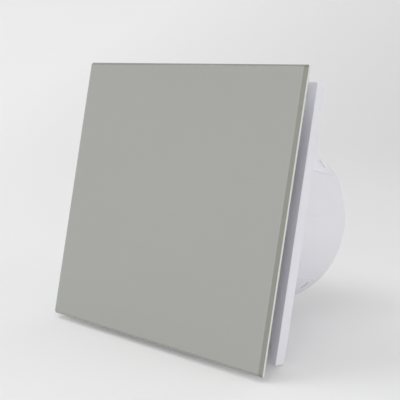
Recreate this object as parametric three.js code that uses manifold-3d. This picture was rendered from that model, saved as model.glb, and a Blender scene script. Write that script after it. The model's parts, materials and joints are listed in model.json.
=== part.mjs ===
// Bathroom extractor fan for a 125 mm duct, with a bevelled glass panel in front of a slim square casing.
//
// Millimetres. +Z is up, +Y points through the wall into the duct, and the glass faces -Y.
// The origin is on the duct's axis, in the plane of the wall that the casing sits on.

import * as THREE from 'three';
import { mergeVertices } from 'three/addons/utils/BufferGeometryUtils.js';
import Module from 'manifold-3d';

const wasm = await Module();
wasm.setup();

// Glass front panel
const PANEL_SIDE = 180;
const PANEL_LIFT = 1;
const GLASS_FRONT_Y = -31.7;
const GLASS_THICKNESS = 4;
const BEVEL_WIDTH = 1.7;
const BEVEL_DEPTH = 2.1;
const ARRIS = 0.3;
const TAPE_THICKNESS = 0.9;
const TAPE_WIDTH = 10;
const TAPE_LENGTH = 120;
const CARRIER_SIDE = 150;
const CARRIER_THICKNESS = 2.4;
const CARRIER_RIB = 2.2;
const POST_OFFSET = 71;
const POST_R = 3.2;
const POST_TIP_Y = -3.5;

// Casing with its inlet ring
const CASING_SIDE = 170;
const CASING_FRONT_Y = -9.5;
const CASING_WALL = 2.5;
const FACE_WALL = 2.2;
const FACE_BACK_Y = CASING_FRONT_Y + FACE_WALL;
const THROAT_R = 54.6;
const THROAT_WALL = 1.6;
const THROAT_END_Y = 26;
const BELL_R = 9;
const LIP_R = 66;
const LIP_THICKNESS = 1.2;
const RING_SEAT_R = 64.2;
const WALL_SCREW_OFFSET = 75;
const WALL_SCREW_HOLE_R = 2.4;
const WALL_SCREW_SEAT_R = 4.8;
const WALL_SCREW_SEAT_DEPTH = 1.2;
const BOSS_ROOT = 0.5;
const RIB_ANGLES = [14, 76, 104, 166, 194, 256, 284, 346];
const RING_HOOK_ANGLES = [28, 118, 208, 298];

// Duct spigot
const SPIGOT_R = 61.5;
const BORE_R = 59.3;
const SPIGOT_END_Y = 94;
const FLANGE_R = 64.8;
const FLANGE_FRONT_Y = -4.9;
const FLANGE_THICKNESS = 2.2;
const EAR_SCREW_R = 67.5;
const SLOT_Y = 80;
const SLOT_WIDTH = 1.5;
const SLOT_LENGTH = 7;
const LUG_RECESS = 1.1;
const PAD_RISE = 0.5;
const PAD_SPAN_Y = [54.7, 88];
const PAD_HALF_ANGLE = 8;
const EAR_R = 4.6;

// Motor, bracket and impeller
const CUP_R = 27.9;
const CUP_BORE_R = 26.3;
const CUP_FRONT_Y = 23.5;
const CUP_REAR_Y = 70;
const MOTOR_R = 25.8;
const MOTOR_SCREW_R = 23.4;
const FRONT_SHIELD_Y = 27;
const REAR_SHIELD_Y = 61;
const SHIELD_BOSS_DEPTH = 0.9;
const STACK_FRONT_Y = 34;
const STACK_REAR_Y = 54;
const ROTOR_R = 12.2;
const SHAFT_R = 2;
const BUSH_BORE_R = 2.06;
const BUSH_R = 4.8;
const BUSH_LENGTH = 5.7;
const HUB_R = 24;
const HUB_WALL = 2;
const TIP_R = 53.8;
const BLADE_COUNT = 7;
const BLADE_Y = 11;

// Backdraught shutter
const FLAP_Y = 88.1;
const FLAP_R = 58.4;
const FLAP_THICKNESS = 1.2;
const FLAP_INNER_EDGE = 3.7;
const PIN_R = 1.5;
const PIN_HALF = 58;
const PIN_BOSS_R = 3.3;
const LEFT_KNUCKLES = [[-54, -34], [14, 33.8]];
const RIGHT_KNUCKLES = [[-33.8, -14], [34, 54]];
const KNUCKLE_R = 3.2;
const KNUCKLE_BORE_R = 1.58;
const STOP_R = 56.8;

// Electrical corner: t runs along the corner's tangent and d along its diagonal, outwards
const BLOCK_HALF_T = 13;
const BLOCK_D = [75, 89];
const BLOCK_HEIGHT = 8;
const TERMINAL_D = 82;
const POLE_PITCH = 8.7;
const CLAMP_T = -19;
const CLAMP_D = 79;
const CLAMP_SCREW_SPREAD = 8.2;
const CLAMP_HALF_D = 10.8;
const CLAMP_THICKNESS = 2.4;
const GROMMET_T = -30;
const GROMMET_D = 75;
const COVER_HALF_T = 15.5;
const COVER_D = [67.8, 91];
const COVER_FRONT_Y = -19.8;
const COVER_WALL = 1.5;
const COVER_SCREW_D = 94.5;
const COVER_TAB_THICKNESS = 2.2;

// Motor lead
const LEAD_ANGLE = 128;
const LEAD_R = 1.1;
const LEAD_HOLE_AT = 71.9;

// Fits and facets
const SEAT = 0.05;
const GAP = 0.3;
const MERGE_DISTANCE = 1e-4;
const RING = 32;
const MEDIUM = 18;
const SMALL = 16;
const TINY = 8;
const CORNER_TURN = -Math.PI / 4;
const QUARTER = Math.PI / 2;

const GLASS_BACK_Y = GLASS_FRONT_Y + GLASS_THICKNESS;
const CARRIER_FRONT_Y = GLASS_BACK_Y + TAPE_THICKNESS + 2 * SEAT;
const CARRIER_BACK_Y = CARRIER_FRONT_Y + CARRIER_THICKNESS;
const FLANGE_BACK_Y = FLANGE_FRONT_Y + FLANGE_THICKNESS;
const DIAGONALS = [45, 135, 225, 315];
const QUARTERS = [0, 90, 180, 270];
const MOTOR_SCREW_ANGLES = [45, 225];

// ---- Geometry helpers ----

function signedVolume(positions, triangles) {
  const [a, b, c] = [new THREE.Vector3(), new THREE.Vector3(), new THREE.Vector3()];
  let volume = 0;
  for (let i = 0; i < triangles.length; i += 3) {
    a.fromArray(positions, 3 * triangles[i]);
    b.fromArray(positions, 3 * triangles[i + 1]);
    c.fromArray(positions, 3 * triangles[i + 2]);
    volume += a.dot(b.cross(c)) / 6;
  }
  return volume;
}

// A closed geometry as a solid, with its faces turned outwards whichever way its profile was drawn.
function toSolid(geometry) {
  const bare = geometry.clone();
  bare.deleteAttribute('normal');
  bare.deleteAttribute('uv');
  const merged = mergeVertices(bare, MERGE_DISTANCE);
  const index = merged.index.array;
  const positions = new Float32Array(merged.attributes.position.array);
  const triangles = [];
  for (let i = 0; i < index.length; i += 3) {
    const [a, b, c] = [index[i], index[i + 1], index[i + 2]];
    if (a !== b && b !== c && c !== a) triangles.push(a, b, c);
  }
  if (signedVolume(positions, triangles) < 0) triangles.reverse();
  const mesh = new wasm.Mesh({ numProp: 3, vertProperties: positions, triVerts: new Uint32Array(triangles) });
  return new wasm.Manifold(mesh);
}

function toGeometry(solid) {
  const mesh = solid.getMesh();
  const geometry = new THREE.BufferGeometry();
  geometry.setAttribute('position', new THREE.BufferAttribute(new Float32Array(mesh.vertProperties), 3));
  geometry.setIndex(new THREE.BufferAttribute(new Uint32Array(mesh.triVerts), 1));
  return geometry;
}

function join(...pieces) {
  return toGeometry(pieces.map(toSolid).reduce((whole, piece) => whole.add(piece)));
}

function cut(base, ...tools) {
  return toGeometry(tools.map(toSolid).reduce((whole, tool) => whole.subtract(tool), toSolid(base)));
}

function common(a, b) {
  return toGeometry(toSolid(a).intersect(toSolid(b)));
}

function block([x0, x1], [y0, y1], [z0, z1]) {
  const box = new THREE.BoxGeometry(x1 - x0, y1 - y0, z1 - z0);
  return box.translate((x0 + x1) / 2, (y0 + y1) / 2, (z0 + z1) / 2);
}

function rodY(radius, [y0, y1], x = 0, z = 0, segments = SMALL) {
  const rod = new THREE.CylinderGeometry(radius, radius, y1 - y0, segments);
  return rod.translate(x, (y0 + y1) / 2, z);
}

function rodZ(radius, [z0, z1], x, y, segments = SMALL) {
  const rod = new THREE.CylinderGeometry(radius, radius, z1 - z0, segments);
  return rod.rotateX(QUARTER).translate(x, y, (z0 + z1) / 2);
}

function rodX(radius, [x0, x1], y, z, segments = SMALL) {
  const rod = new THREE.CylinderGeometry(radius, radius, x1 - x0, segments);
  return rod.rotateZ(QUARTER).translate((x0 + x1) / 2, y, z);
}

// A solid of revolution about Y from [radius, y] points; a profile off the axis closes on itself.
function revolve(profile, segments = RING) {
  const points = profile.map(([r, y]) => new THREE.Vector2(r, y));
  const onAxis = profile[0][0] === 0;
  if (!onAxis) points.push(points[0].clone());
  return new THREE.LatheGeometry(points, segments);
}

function tube(innerR, outerR, [y0, y1], segments = RING) {
  return revolve([[innerR, y0], [outerR, y0], [outerR, y1], [innerR, y1]], segments);
}

function arc([cx, cy], radius, from, to, steps) {
  const points = [];
  for (let i = 0; i <= steps; i += 1) {
    const angle = THREE.MathUtils.degToRad(from + (to - from) * i / steps);
    points.push([cx + radius * Math.cos(angle), cy + radius * Math.sin(angle)]);
  }
  return points;
}

function outline(points, holes = []) {
  const shape = new THREE.Shape(points.map(([x, y]) => new THREE.Vector2(x, y)));
  shape.holes = holes.map((hole) => new THREE.Path(hole.map(([x, y]) => new THREE.Vector2(x, y))));
  return shape;
}

// An outline drawn in [x, z], thickened between two planes across Y.
function slab(shape, [y0, y1]) {
  const plate = new THREE.ExtrudeGeometry(shape, { depth: y1 - y0, bevelEnabled: false });
  return plate.rotateX(QUARTER).translate(0, y1, 0);
}

function sector([r0, r1], range, from, to, steps) {
  return slab(outline([...arc([0, 0], r1, from, to, steps), ...arc([0, 0], r0, to, from, steps)]), range);
}

function roundedRectangle(halfX, halfZ, radius, steps) {
  return [
    ...arc([halfX - radius, halfZ - radius], radius, 0, 90, steps),
    ...arc([radius - halfX, halfZ - radius], radius, 90, 180, steps),
    ...arc([radius - halfX, radius - halfZ], radius, 180, 270, steps),
    ...arc([halfX - radius, radius - halfZ], radius, 270, 360, steps),
  ];
}

// Turns geometry about the fan's axis, counter-clockwise as seen from the front.
function turned(geometry, degrees) {
  return geometry.clone().rotateY(-THREE.MathUtils.degToRad(degrees));
}

function polar(radius, degrees) {
  const angle = THREE.MathUtils.degToRad(degrees);
  return [radius * Math.cos(angle), radius * Math.sin(angle)];
}

// A pan-head screw along Y: the head's seat is at y = 0, its head reaches to -headHeight.
function panScrew(shankR, length, headR, headHeight) {
  const profile = [[0, -headHeight], [headR * 0.7, -headHeight], [headR, -headHeight * 0.55], [headR, 0]];
  const screw = revolve([...profile, [shankR, 0], [shankR, length - shankR], [0, length]], TINY);
  const slotDepth = headHeight * 0.5;
  const bars = [0, 90].map((angle) => turned(
    block(
      [-headR * 0.55, headR * 0.55],
      [-headHeight - 1, slotDepth - headHeight],
      [-headR * 0.13, headR * 0.13],
    ),
    angle,
  ));
  return cut(screw, ...bars);
}

// ---- Front panel ----

function glassPanel() {
  const half = PANEL_SIDE / 2;
  const face = half - BEVEL_WIDTH;
  const edgeY = GLASS_FRONT_Y + BEVEL_DEPTH;
  const profile = [
    [0, GLASS_FRONT_Y], [face, GLASS_FRONT_Y], [half, edgeY],
    [half, GLASS_BACK_Y - ARRIS], [half - ARRIS, GLASS_BACK_Y], [0, GLASS_BACK_Y],
  ];
  const corners = profile.map(([r, y]) => [r * Math.SQRT2, y]);
  return revolve(corners, 4).rotateY(Math.PI / 4).translate(0, 0, PANEL_LIFT);
}

function tapeStrip() {
  const outer = CARRIER_SIDE / 2 - 3;
  const range = [GLASS_BACK_Y + SEAT, GLASS_BACK_Y + SEAT + TAPE_THICKNESS];
  return block([outer - TAPE_WIDTH, outer], range, [-TAPE_LENGTH / 2, TAPE_LENGTH / 2]);
}

function carrierPost() {
  const base = 4;
  return revolve([
    [0, CARRIER_BACK_Y - 1], [base, CARRIER_BACK_Y - 1],
    [base, CARRIER_BACK_Y], [POST_R, CARRIER_BACK_Y + 2.5],
    [POST_R, POST_TIP_Y - 1], [POST_R - 1, POST_TIP_Y], [0, POST_TIP_Y],
  ], SMALL);
}

function panelCarrier() {
  const half = CARRIER_SIDE / 2;
  const ribEnd = CARRIER_BACK_Y + CARRIER_RIB;
  const rim = outline(roundedRectangle(half, half, 8, 6), [roundedRectangle(half - 2, half - 2, 6, 6)]);
  const windows = DIAGONALS.map((angle) => sector([30, 54], [CARRIER_FRONT_Y - 1, CARRIER_BACK_Y + 1],
    angle - 33, angle + 33, 6));
  const plate = cut(
    slab(outline(roundedRectangle(half, half, 8, 6)), [CARRIER_FRONT_Y, CARRIER_BACK_Y]),
    ...windows,
  );
  const ribs = QUARTERS.flatMap((angle) => {
    const [x, z] = polar(POST_OFFSET, angle);
    return [
      turned(block([26, half - 1], [CARRIER_BACK_Y - 1, ribEnd], [-1, 1]), angle),
      carrierPost().translate(x, 0, z),
    ];
  });
  const rings = [28, 57].map((r) => tube(r - 1, r + 1, [CARRIER_BACK_Y - 1, ribEnd], MEDIUM));
  return join(plate, slab(rim, [CARRIER_BACK_Y - 1, ribEnd]), ...rings, ...ribs);
}

// ---- Casing and spigot ----

// The bellmouth and throat in one ring, its lip flush in the casing's face and held by four hooks.
function inletRing() {
  const centre = [THROAT_R + BELL_R, CASING_FRONT_Y + BELL_R];
  const lipBackY = CASING_FRONT_Y + LIP_THICKNESS;
  const body = revolve([
    [LIP_R, CASING_FRONT_Y],
    ...arc(centre, BELL_R, 270, 180, 4),
    [THROAT_R, THROAT_END_Y],
    [THROAT_R + THROAT_WALL, THROAT_END_Y],
    ...arc(centre, BELL_R - THROAT_WALL, 180, 270, 4),
    [RING_SEAT_R, CASING_FRONT_Y + THROAT_WALL],
    [RING_SEAT_R, lipBackY],
    [LIP_R, lipBackY],
  ]);
  const hookSpan = [FACE_BACK_Y + 0.1, FACE_BACK_Y + 1.3];
  const hooks = RING_HOOK_ANGLES.map((angle) => sector([58, LIP_R - 0.5], hookSpan, angle - 3, angle + 3, 2));
  return join(body, ...hooks);
}

// Holes and bosses in the electrical corner, drawn in t and d and turned into place.
function cornerHoles() {
  const pilots = [
    [0, COVER_SCREW_D],
    [CLAMP_T, CLAMP_D - CLAMP_SCREW_SPREAD],
    [CLAMP_T, CLAMP_D + CLAMP_SCREW_SPREAD],
  ];
  const [leadX, leadZ] = polar(LEAD_HOLE_AT, LEAD_ANGLE);
  return {
    bosses: pilots.map(([t, d]) => rodY(3, [FACE_BACK_Y - BOSS_ROOT, -2], t, d, TINY).rotateY(CORNER_TURN)),
    holes: [
      ...pilots.map(([t, d]) => rodY(1.5, [CASING_FRONT_Y - 1, -3], t, d, TINY).rotateY(CORNER_TURN)),
      rodY(5.3, [CASING_FRONT_Y - 1, 0], GROMMET_T, GROMMET_D).rotateY(CORNER_TURN),
      rodY(2.2, [CASING_FRONT_Y - 1, 0], leadX, leadZ, TINY),
    ],
  };
}

function frontHousing() {
  const half = CASING_SIDE / 2;
  const inner = half - CASING_WALL;
  const shell = cut(
    block([-half, half], [CASING_FRONT_Y, 0], [-half, half]),
    block([-inner, inner], [FACE_BACK_Y, 1], [-inner, inner]),
  );
  const corner = cornerHoles();
  const bosses = [];
  const holes = [
    rodY(RING_SEAT_R + GAP, [CASING_FRONT_Y - 1, 0], 0, 0, RING),
    rodY(LIP_R + GAP, [CASING_FRONT_Y - 1, CASING_FRONT_Y + LIP_THICKNESS + SEAT], 0, 0, RING),
  ];
  for (const angle of DIAGONALS) {
    const x = WALL_SCREW_OFFSET * Math.sign(Math.cos(THREE.MathUtils.degToRad(angle)));
    const z = WALL_SCREW_OFFSET * Math.sign(Math.sin(THREE.MathUtils.degToRad(angle)));
    bosses.push(rodY(6.4, [FACE_BACK_Y - BOSS_ROOT, 0], x, z));
    holes.push(rodY(WALL_SCREW_HOLE_R, [CASING_FRONT_Y - 1, 1], x, z));
    holes.push(rodY(WALL_SCREW_SEAT_R, [CASING_FRONT_Y - 1, CASING_FRONT_Y + WALL_SCREW_SEAT_DEPTH], x, z));
    const [earX, earZ] = polar(EAR_SCREW_R, angle);
    bosses.push(rodY(4, [FACE_BACK_Y - BOSS_ROOT, FLANGE_FRONT_Y - GAP], earX, earZ));
    holes.push(rodY(1.7, [CASING_FRONT_Y + 1, 0], earX, earZ, TINY));
  }
  for (const angle of QUARTERS) {
    const [x, z] = polar(POST_OFFSET, angle);
    bosses.push(rodY(POST_R + 2, [FACE_BACK_Y - BOSS_ROOT, -2.5], x, z));
    holes.push(rodY(POST_R + GAP, [CASING_FRONT_Y - 1, 0], x, z));
  }
  const ribs = RIB_ANGLES.map((angle) => common(
    turned(block([LIP_R - 0.4, 90], [FACE_BACK_Y - BOSS_ROOT, -1], [-0.8, 0.8]), angle),
    block([-half + 1, half - 1], [CASING_FRONT_Y, 0], [-half + 1, half - 1]),
  ));
  return cut(join(shell, ...bosses, ...corner.bosses, ...ribs), ...holes, ...corner.holes);
}

function ductSpigot() {
  const body = revolve([
    [BORE_R, FLANGE_FRONT_Y], [FLANGE_R, FLANGE_FRONT_Y],
    [FLANGE_R, FLANGE_BACK_Y], [SPIGOT_R, FLANGE_BACK_Y],
    [SPIGOT_R, SPIGOT_END_Y - 0.6], [SPIGOT_R - 0.6, SPIGOT_END_Y], [BORE_R, SPIGOT_END_Y],
    [BORE_R, 87.2], [STOP_R, 87.2], [STOP_R, 85.6], [BORE_R, 84.6],
  ]);
  const ear = [[FLANGE_R - 3, -5.4], ...arc([EAR_SCREW_R, 0], EAR_R, -70, 70, 8), [FLANGE_R - 3, 5.4]];
  const slotY = [SLOT_Y - SLOT_WIDTH / 2, SLOT_Y + SLOT_WIDTH / 2];
  const additions = [];
  const cuts = [];
  for (const angle of DIAGONALS) {
    const padRadii = [SPIGOT_R - 1, SPIGOT_R + PAD_RISE];
    additions.push(sector(padRadii, PAD_SPAN_Y, angle - PAD_HALF_ANGLE, angle + PAD_HALF_ANGLE, 4));
    additions.push(turned(slab(outline(ear), [FLANGE_FRONT_Y, FLANGE_BACK_Y]), angle));
    cuts.push(turned(rodY(1.7, [FLANGE_FRONT_Y - 1, FLANGE_BACK_Y + 1], EAR_SCREW_R, 0, TINY), angle));
    cuts.push(turned(block([SPIGOT_R - 4, SPIGOT_R + 2], slotY, [-SLOT_LENGTH / 2, SLOT_LENGTH / 2]), angle));
  }
  for (const side of [-1, 1]) {
    const boss = [side * (BORE_R + 0.7), side * 55.6].sort((a, b) => a - b);
    const hole = [side * (PIN_HALF + 0.5), side * 50].sort((a, b) => a - b);
    additions.push(rodZ(PIN_BOSS_R, boss, 0, FLAP_Y));
    cuts.push(rodZ(PIN_R + GAP, hole, 0, FLAP_Y));
  }
  cuts.push(turned(block([BORE_R - 2, FLANGE_R + 2], [FLANGE_FRONT_Y - 1, 6], [-2.6, 2.6]), LEAD_ANGLE));
  return cut(join(body, ...additions), ...cuts);
}

// ---- Motor bracket and motor ----

function bracketArm() {
  const side = [[CUP_R - 1, 52], [CUP_R - 1, CUP_REAR_Y], [BORE_R - 0.8, 84], [BORE_R - 0.8, 74]];
  const web = new THREE.ExtrudeGeometry(outline(side), { depth: 3, bevelEnabled: false });
  web.translate(0, 0, -1.5);
  const foot = sector([BORE_R - 2, BORE_R - GAP], [66, 84], -3.5, 3.5, 4);
  const lug = block(
    [BORE_R - 1.2, SPIGOT_R - LUG_RECESS],
    [SLOT_Y - SLOT_WIDTH / 2 + GAP, SLOT_Y + SLOT_WIDTH / 2 - GAP],
    [GAP - SLOT_LENGTH / 2, SLOT_LENGTH / 2 - GAP],
  );
  return join(web, foot, lug);
}

function motorBracket() {
  const cup = revolve([
    [CUP_BORE_R, CUP_FRONT_Y], [CUP_R, CUP_FRONT_Y], [CUP_R, CUP_REAR_Y], [6, CUP_REAR_Y],
    [6, CUP_REAR_Y - 2], [CUP_BORE_R, CUP_REAR_Y - 2],
  ], RING);
  const ventSpan = [CUP_REAR_Y - 3, CUP_REAR_Y + 1];
  const vents = QUARTERS.map((angle) => sector([10, 20], ventSpan, angle - 26, angle + 26, 6));
  const bosses = [];
  const pilots = [];
  for (const angle of MOTOR_SCREW_ANGLES) {
    const [x, z] = polar(MOTOR_SCREW_R, angle);
    bosses.push(rodY(2.6, [63, CUP_REAR_Y - 1], x, z, TINY));
    pilots.push(rodY(1.7, [62, CUP_REAR_Y - 0.8], x, z, TINY));
  }
  const leadHole = turned(rodX(1.7, [CUP_BORE_R - 2, CUP_R + 2], 65, 0, TINY), LEAD_ANGLE);
  const arms = DIAGONALS.map((angle) => turned(bracketArm(), angle));
  return cut(join(cut(cup, ...vents), ...bosses, ...arms), ...pilots, leadHole);
}

// A motor end shield facing -Y, its plate's front face at y = 0 and its bearing boss open to +Y.
function motorShield() {
  const dish = revolve([
    [3.2, -2], [7.4, -2], [7.4, 0], [MOTOR_R, 0], [MOTOR_R, 5], [MOTOR_R - 1.5, 5], [MOTOR_R - 1.5, 2.2],
    [7.4, 2.2], [7.4, 5], [BUSH_R + 0.2, 5], [BUSH_R + 0.2, -1.2], [3.2, -1.2],
  ], MEDIUM);
  const windows = QUARTERS.map((angle) => sector([10, 20], [-1, 3], angle - 24, angle + 24, 4));
  const holes = MOTOR_SCREW_ANGLES.map((angle) => {
    const [x, z] = polar(MOTOR_SCREW_R, angle);
    return rodY(1.7, [-1, 7], x, z, TINY);
  });
  return cut(dish, ...windows, ...holes);
}

function statorCore() {
  const bore = 12.7;
  const shoe = 14.2;
  const yoke = 21;
  const neck = 4.5;
  const inner = QUARTERS.flatMap((angle) => {
    const [cos, sin] = polar(1, angle);
    const at = (r, across) => [r * cos - across * sin, r * sin + across * cos];
    const neckAngle = THREE.MathUtils.radToDeg(Math.asin(neck / yoke));
    return [
      polar(yoke, angle - neckAngle),
      at(shoe, -neck),
      polar(shoe, angle - 33),
      ...arc([0, 0], bore, angle - 33, angle + 33, 6),
      polar(shoe, angle + 33),
      at(shoe, neck),
      ...arc([0, 0], yoke, angle + neckAngle, angle + 80 - neckAngle, 5),
    ];
  });
  const ring = slab(outline(arc([0, 0], MOTOR_R, 0, 350, 35), [inner]), [STACK_FRONT_Y, STACK_REAR_Y]);
  const holes = MOTOR_SCREW_ANGLES.map((angle) => {
    const [x, z] = polar(MOTOR_SCREW_R, angle);
    return rodY(1.6, [STACK_FRONT_Y - 1, STACK_REAR_Y + 1], x, z, TINY);
  });
  return cut(ring, ...holes);
}

function coil() {
  const middle = (STACK_FRONT_Y + STACK_REAR_Y) / 2;
  const reach = (STACK_REAR_Y - STACK_FRONT_Y) / 2;
  const opening = roundedRectangle(4.8, reach + GAP, 0.6, 1);
  const shape = outline(roundedRectangle(8.1, reach + 3.6, 3, 3), [opening]);
  const ring = new THREE.ExtrudeGeometry(shape, { depth: 4.2, bevelEnabled: false });
  return ring.rotateY(QUARTER).translate(14.7, middle, 0);
}

function rotorCore() {
  return revolve([
    [SHAFT_R + GAP, STACK_FRONT_Y], [7.5, STACK_FRONT_Y], [7.5, STACK_FRONT_Y - 2], [11.6, STACK_FRONT_Y - 2],
    [11.6, STACK_FRONT_Y], [ROTOR_R, STACK_FRONT_Y], [ROTOR_R, STACK_REAR_Y], [11.6, STACK_REAR_Y],
    [11.6, STACK_REAR_Y + 2], [7.5, STACK_REAR_Y + 2], [7.5, STACK_REAR_Y], [SHAFT_R + GAP, STACK_REAR_Y],
  ], MEDIUM);
}

function shaft() {
  return revolve([
    [0, -1.8], [SHAFT_R - 0.4, -1.8], [SHAFT_R, -1.4], [SHAFT_R, 65.6], [SHAFT_R - 0.4, 66], [0, 66],
  ], SMALL);
}

// ---- Impeller ----

// One blade: a twisted, cambered plate that leans forward towards its tip.
function blade() {
  const rootR = HUB_R - 1.2;
  const geometry = new THREE.BoxGeometry(1, 1, 1, 5, 1, 4);
  const position = geometry.attributes.position;
  for (let i = 0; i < position.count; i += 1) {
    const along = position.getX(i) + 0.5;
    const side = Math.sign(position.getY(i));
    const span = position.getZ(i) + 0.5;
    const r = THREE.MathUtils.lerp(rootR, TIP_R, span);
    const chord = THREE.MathUtils.lerp(27, 40, span);
    const pitch = THREE.MathUtils.degToRad(THREE.MathUtils.lerp(44, 24, span));
    const fore = (along - 0.5) * chord;
    const bulge = 4 * along * (1 - along);
    const offset = 0.07 * chord * bulge + side * (0.35 + 0.6 * Math.sqrt(bulge));
    const tangential = fore * Math.cos(pitch) - offset * Math.sin(pitch);
    const axial = -fore * Math.sin(pitch) - offset * Math.cos(pitch);
    const angle = THREE.MathUtils.degToRad(14) * span * span + tangential / r;
    position.setXYZ(i, r * Math.cos(angle), BLADE_Y + axial, -r * Math.sin(angle));
  }
  return geometry;
}

function impeller() {
  const inner = HUB_R - HUB_WALL;
  const hub = revolve([
    [SHAFT_R + GAP, 0.8], [6, 0.8], [6, -3.4], [14, -2.6], [20, -0.8], [HUB_R, 2.6], [HUB_R, 21.5],
    [inner, 21.5], [inner, 4.2], [18.8, 1.2], [13.5, -0.6], [8, -1.3], [8, 2.8], [6.2, 2.8], [6.2, 14],
    [SHAFT_R + GAP, 14],
  ], 21);
  const blades = Array.from({ length: BLADE_COUNT }, (_, i) => turned(blade(), i * 360 / BLADE_COUNT));
  return join(hub, ...blades);
}

function impellerNut() {
  return cut(rodY(3.9, [-2.1, 0.5], 0, 0, 6), rodY(SHAFT_R + GAP, [-4, 2], 0, 0, SMALL));
}

// ---- Backdraught shutter ----

function halfFlap(side, knuckles) {
  const edge = side * FLAP_INNER_EDGE;
  const limit = THREE.MathUtils.radToDeg(Math.acos(FLAP_INNER_EDGE / FLAP_R));
  const centre = side > 0 ? 0 : 180;
  const faces = [FLAP_Y - FLAP_THICKNESS / 2, FLAP_Y + FLAP_THICKNESS / 2];
  const disc = slab(outline(arc([0, 0], FLAP_R, centre - limit, centre + limit, 28)), faces);
  const pieces = knuckles.flatMap((span) => [
    rodZ(KNUCKLE_R, span, 0, FLAP_Y),
    block([Math.min(0, edge + side), Math.max(0, edge + side)], faces, span),
  ]);
  const rib = block([Math.min(side * 8, side * 50), Math.max(side * 8, side * 50)],
    [faces[0] - 0.1, faces[1] + 1], [-0.6, 0.6]);
  const bores = knuckles.map(([z0, z1]) => rodZ(KNUCKLE_BORE_R, [z0 - 1, z1 + 1], 0, FLAP_Y));
  return cut(join(disc, ...pieces, common(rib, block([-60, 60], [faces[0] + 0.2, 95], [-5, 5]))), ...bores);
}

// A torsion spring for the left-hand flap, wound about the Z axis, its leg lying behind the flap.
function torsionSpring() {
  const coilR = 2.45;
  const turns = 4;
  const start = 11;
  const pitch = 2;
  const points = [];
  for (let i = 0; i <= turns * 10; i += 1) {
    const angle = 2 * Math.PI * i / 10;
    const z = start - turns * pitch + pitch * i / 10;
    points.push(new THREE.Vector3(-coilR * Math.sin(angle), coilR * Math.cos(angle), z));
  }
  for (const [x, y] of [[-3.4, 1.7], [-5.5, 1.2], [-14, 1.15]]) points.push(new THREE.Vector3(x, y, start));
  const section = outline(arc([0, 0], 0.36, 0, 288, 4));
  const extrudePath = new THREE.CatmullRomCurve3(points);
  return new THREE.ExtrudeGeometry(section, { steps: 38, bevelEnabled: false, extrudePath });
}

// ---- Electrical corner, drawn in t (x) and d (z) ----

function terminalBlock() {
  const range = [CASING_FRONT_Y - SEAT - BLOCK_HEIGHT, CASING_FRONT_Y - SEAT];
  const body = block([-BLOCK_HALF_T, BLOCK_HALF_T], range, BLOCK_D);
  const wells = [];
  for (const pole of [-1, 0, 1]) {
    const t = pole * POLE_PITCH;
    wells.push(rodY(2.3, [range[0] - 1, range[0] + 4.5], t, TERMINAL_D, TINY));
    wells.push(block([t - 1.5, t + 1.5], [range[0] + 3, range[0] + 6], [BLOCK_D[0] - 1, BLOCK_D[1] + 1]));
  }
  const grooves = [-0.5, 0.5].map((half) => block([half * POLE_PITCH - 0.5, half * POLE_PITCH + 0.5],
    [range[0] - 1, range[0] + 2], [BLOCK_D[0] - 1, BLOCK_D[1] + 1]));
  return cut(body, ...wells, ...grooves);
}

function terminalScrew() {
  const top = CASING_FRONT_Y - BLOCK_HEIGHT;
  return cut(rodY(1.9, [top + 0.6, top + 3.9], 0, 0, TINY), block([-3, 3], [top, top + 1.4], [-0.3, 0.3]));
}

function terminalCover() {
  const back = CASING_FRONT_Y - SEAT;
  const inner = COVER_HALF_T - COVER_WALL;
  const shell = cut(
    block([-COVER_HALF_T, COVER_HALF_T], [COVER_FRONT_Y, back], COVER_D),
    block(
      [-inner, inner],
      [COVER_FRONT_Y + COVER_WALL, 0],
      [COVER_D[0] + COVER_WALL, COVER_D[1] - COVER_WALL],
    ),
  );
  const tab = slab(outline([
    [5, COVER_D[1] - 1], ...arc([0, COVER_SCREW_D], 4.5, 0, 180, 8), [-5, COVER_D[1] - 1],
  ]), [back - COVER_TAB_THICKNESS, back]);
  const hole = rodY(1.6, [back - 4, back + 1], 0, COVER_SCREW_D, TINY);
  const cableNotch = block([-COVER_HALF_T - 1, -inner + 1], [-16.8, 0], [75.4, 82.6]);
  return cut(join(shell, tab), hole, cableNotch);
}

function cableClamp() {
  const back = CASING_FRONT_Y - SEAT;
  const channel = 3.6;
  const side = [
    [-CLAMP_HALF_D, back],
    [-CLAMP_HALF_D, back - CLAMP_THICKNESS],
    [-channel - 1.8, back - CLAMP_THICKNESS],
    ...arc([0, back - 3.5], channel + 1.8, 180, 360, 8),
    [channel + 1.8, back - CLAMP_THICKNESS],
    [CLAMP_HALF_D, back - CLAMP_THICKNESS],
    [CLAMP_HALF_D, back],
    [channel, back],
    ...arc([0, back - 3.5], channel, 360, 180, 8),
    [-channel, back],
  ];
  const omega = new THREE.ExtrudeGeometry(outline(side), { depth: 6, bevelEnabled: false });
  const placed = omega.rotateY(QUARTER).translate(CLAMP_T - 3, 0, CLAMP_D);
  const holes = [-1, 1].map((sign) => rodY(1.5, [back - 4, back + 1], CLAMP_T,
    CLAMP_D + sign * CLAMP_SCREW_SPREAD, TINY));
  return cut(placed, ...holes);
}

function cableGrommet() {
  return revolve([
    [3.4, -11.4], [7, -11.4], [7, CASING_FRONT_Y - 0.1], [5, CASING_FRONT_Y - 0.1], [5, FACE_BACK_Y + 0.1],
    [6.6, FACE_BACK_Y + 0.1], [5.2, -5.4], [3.4, -5.4],
  ], SMALL);
}

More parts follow.
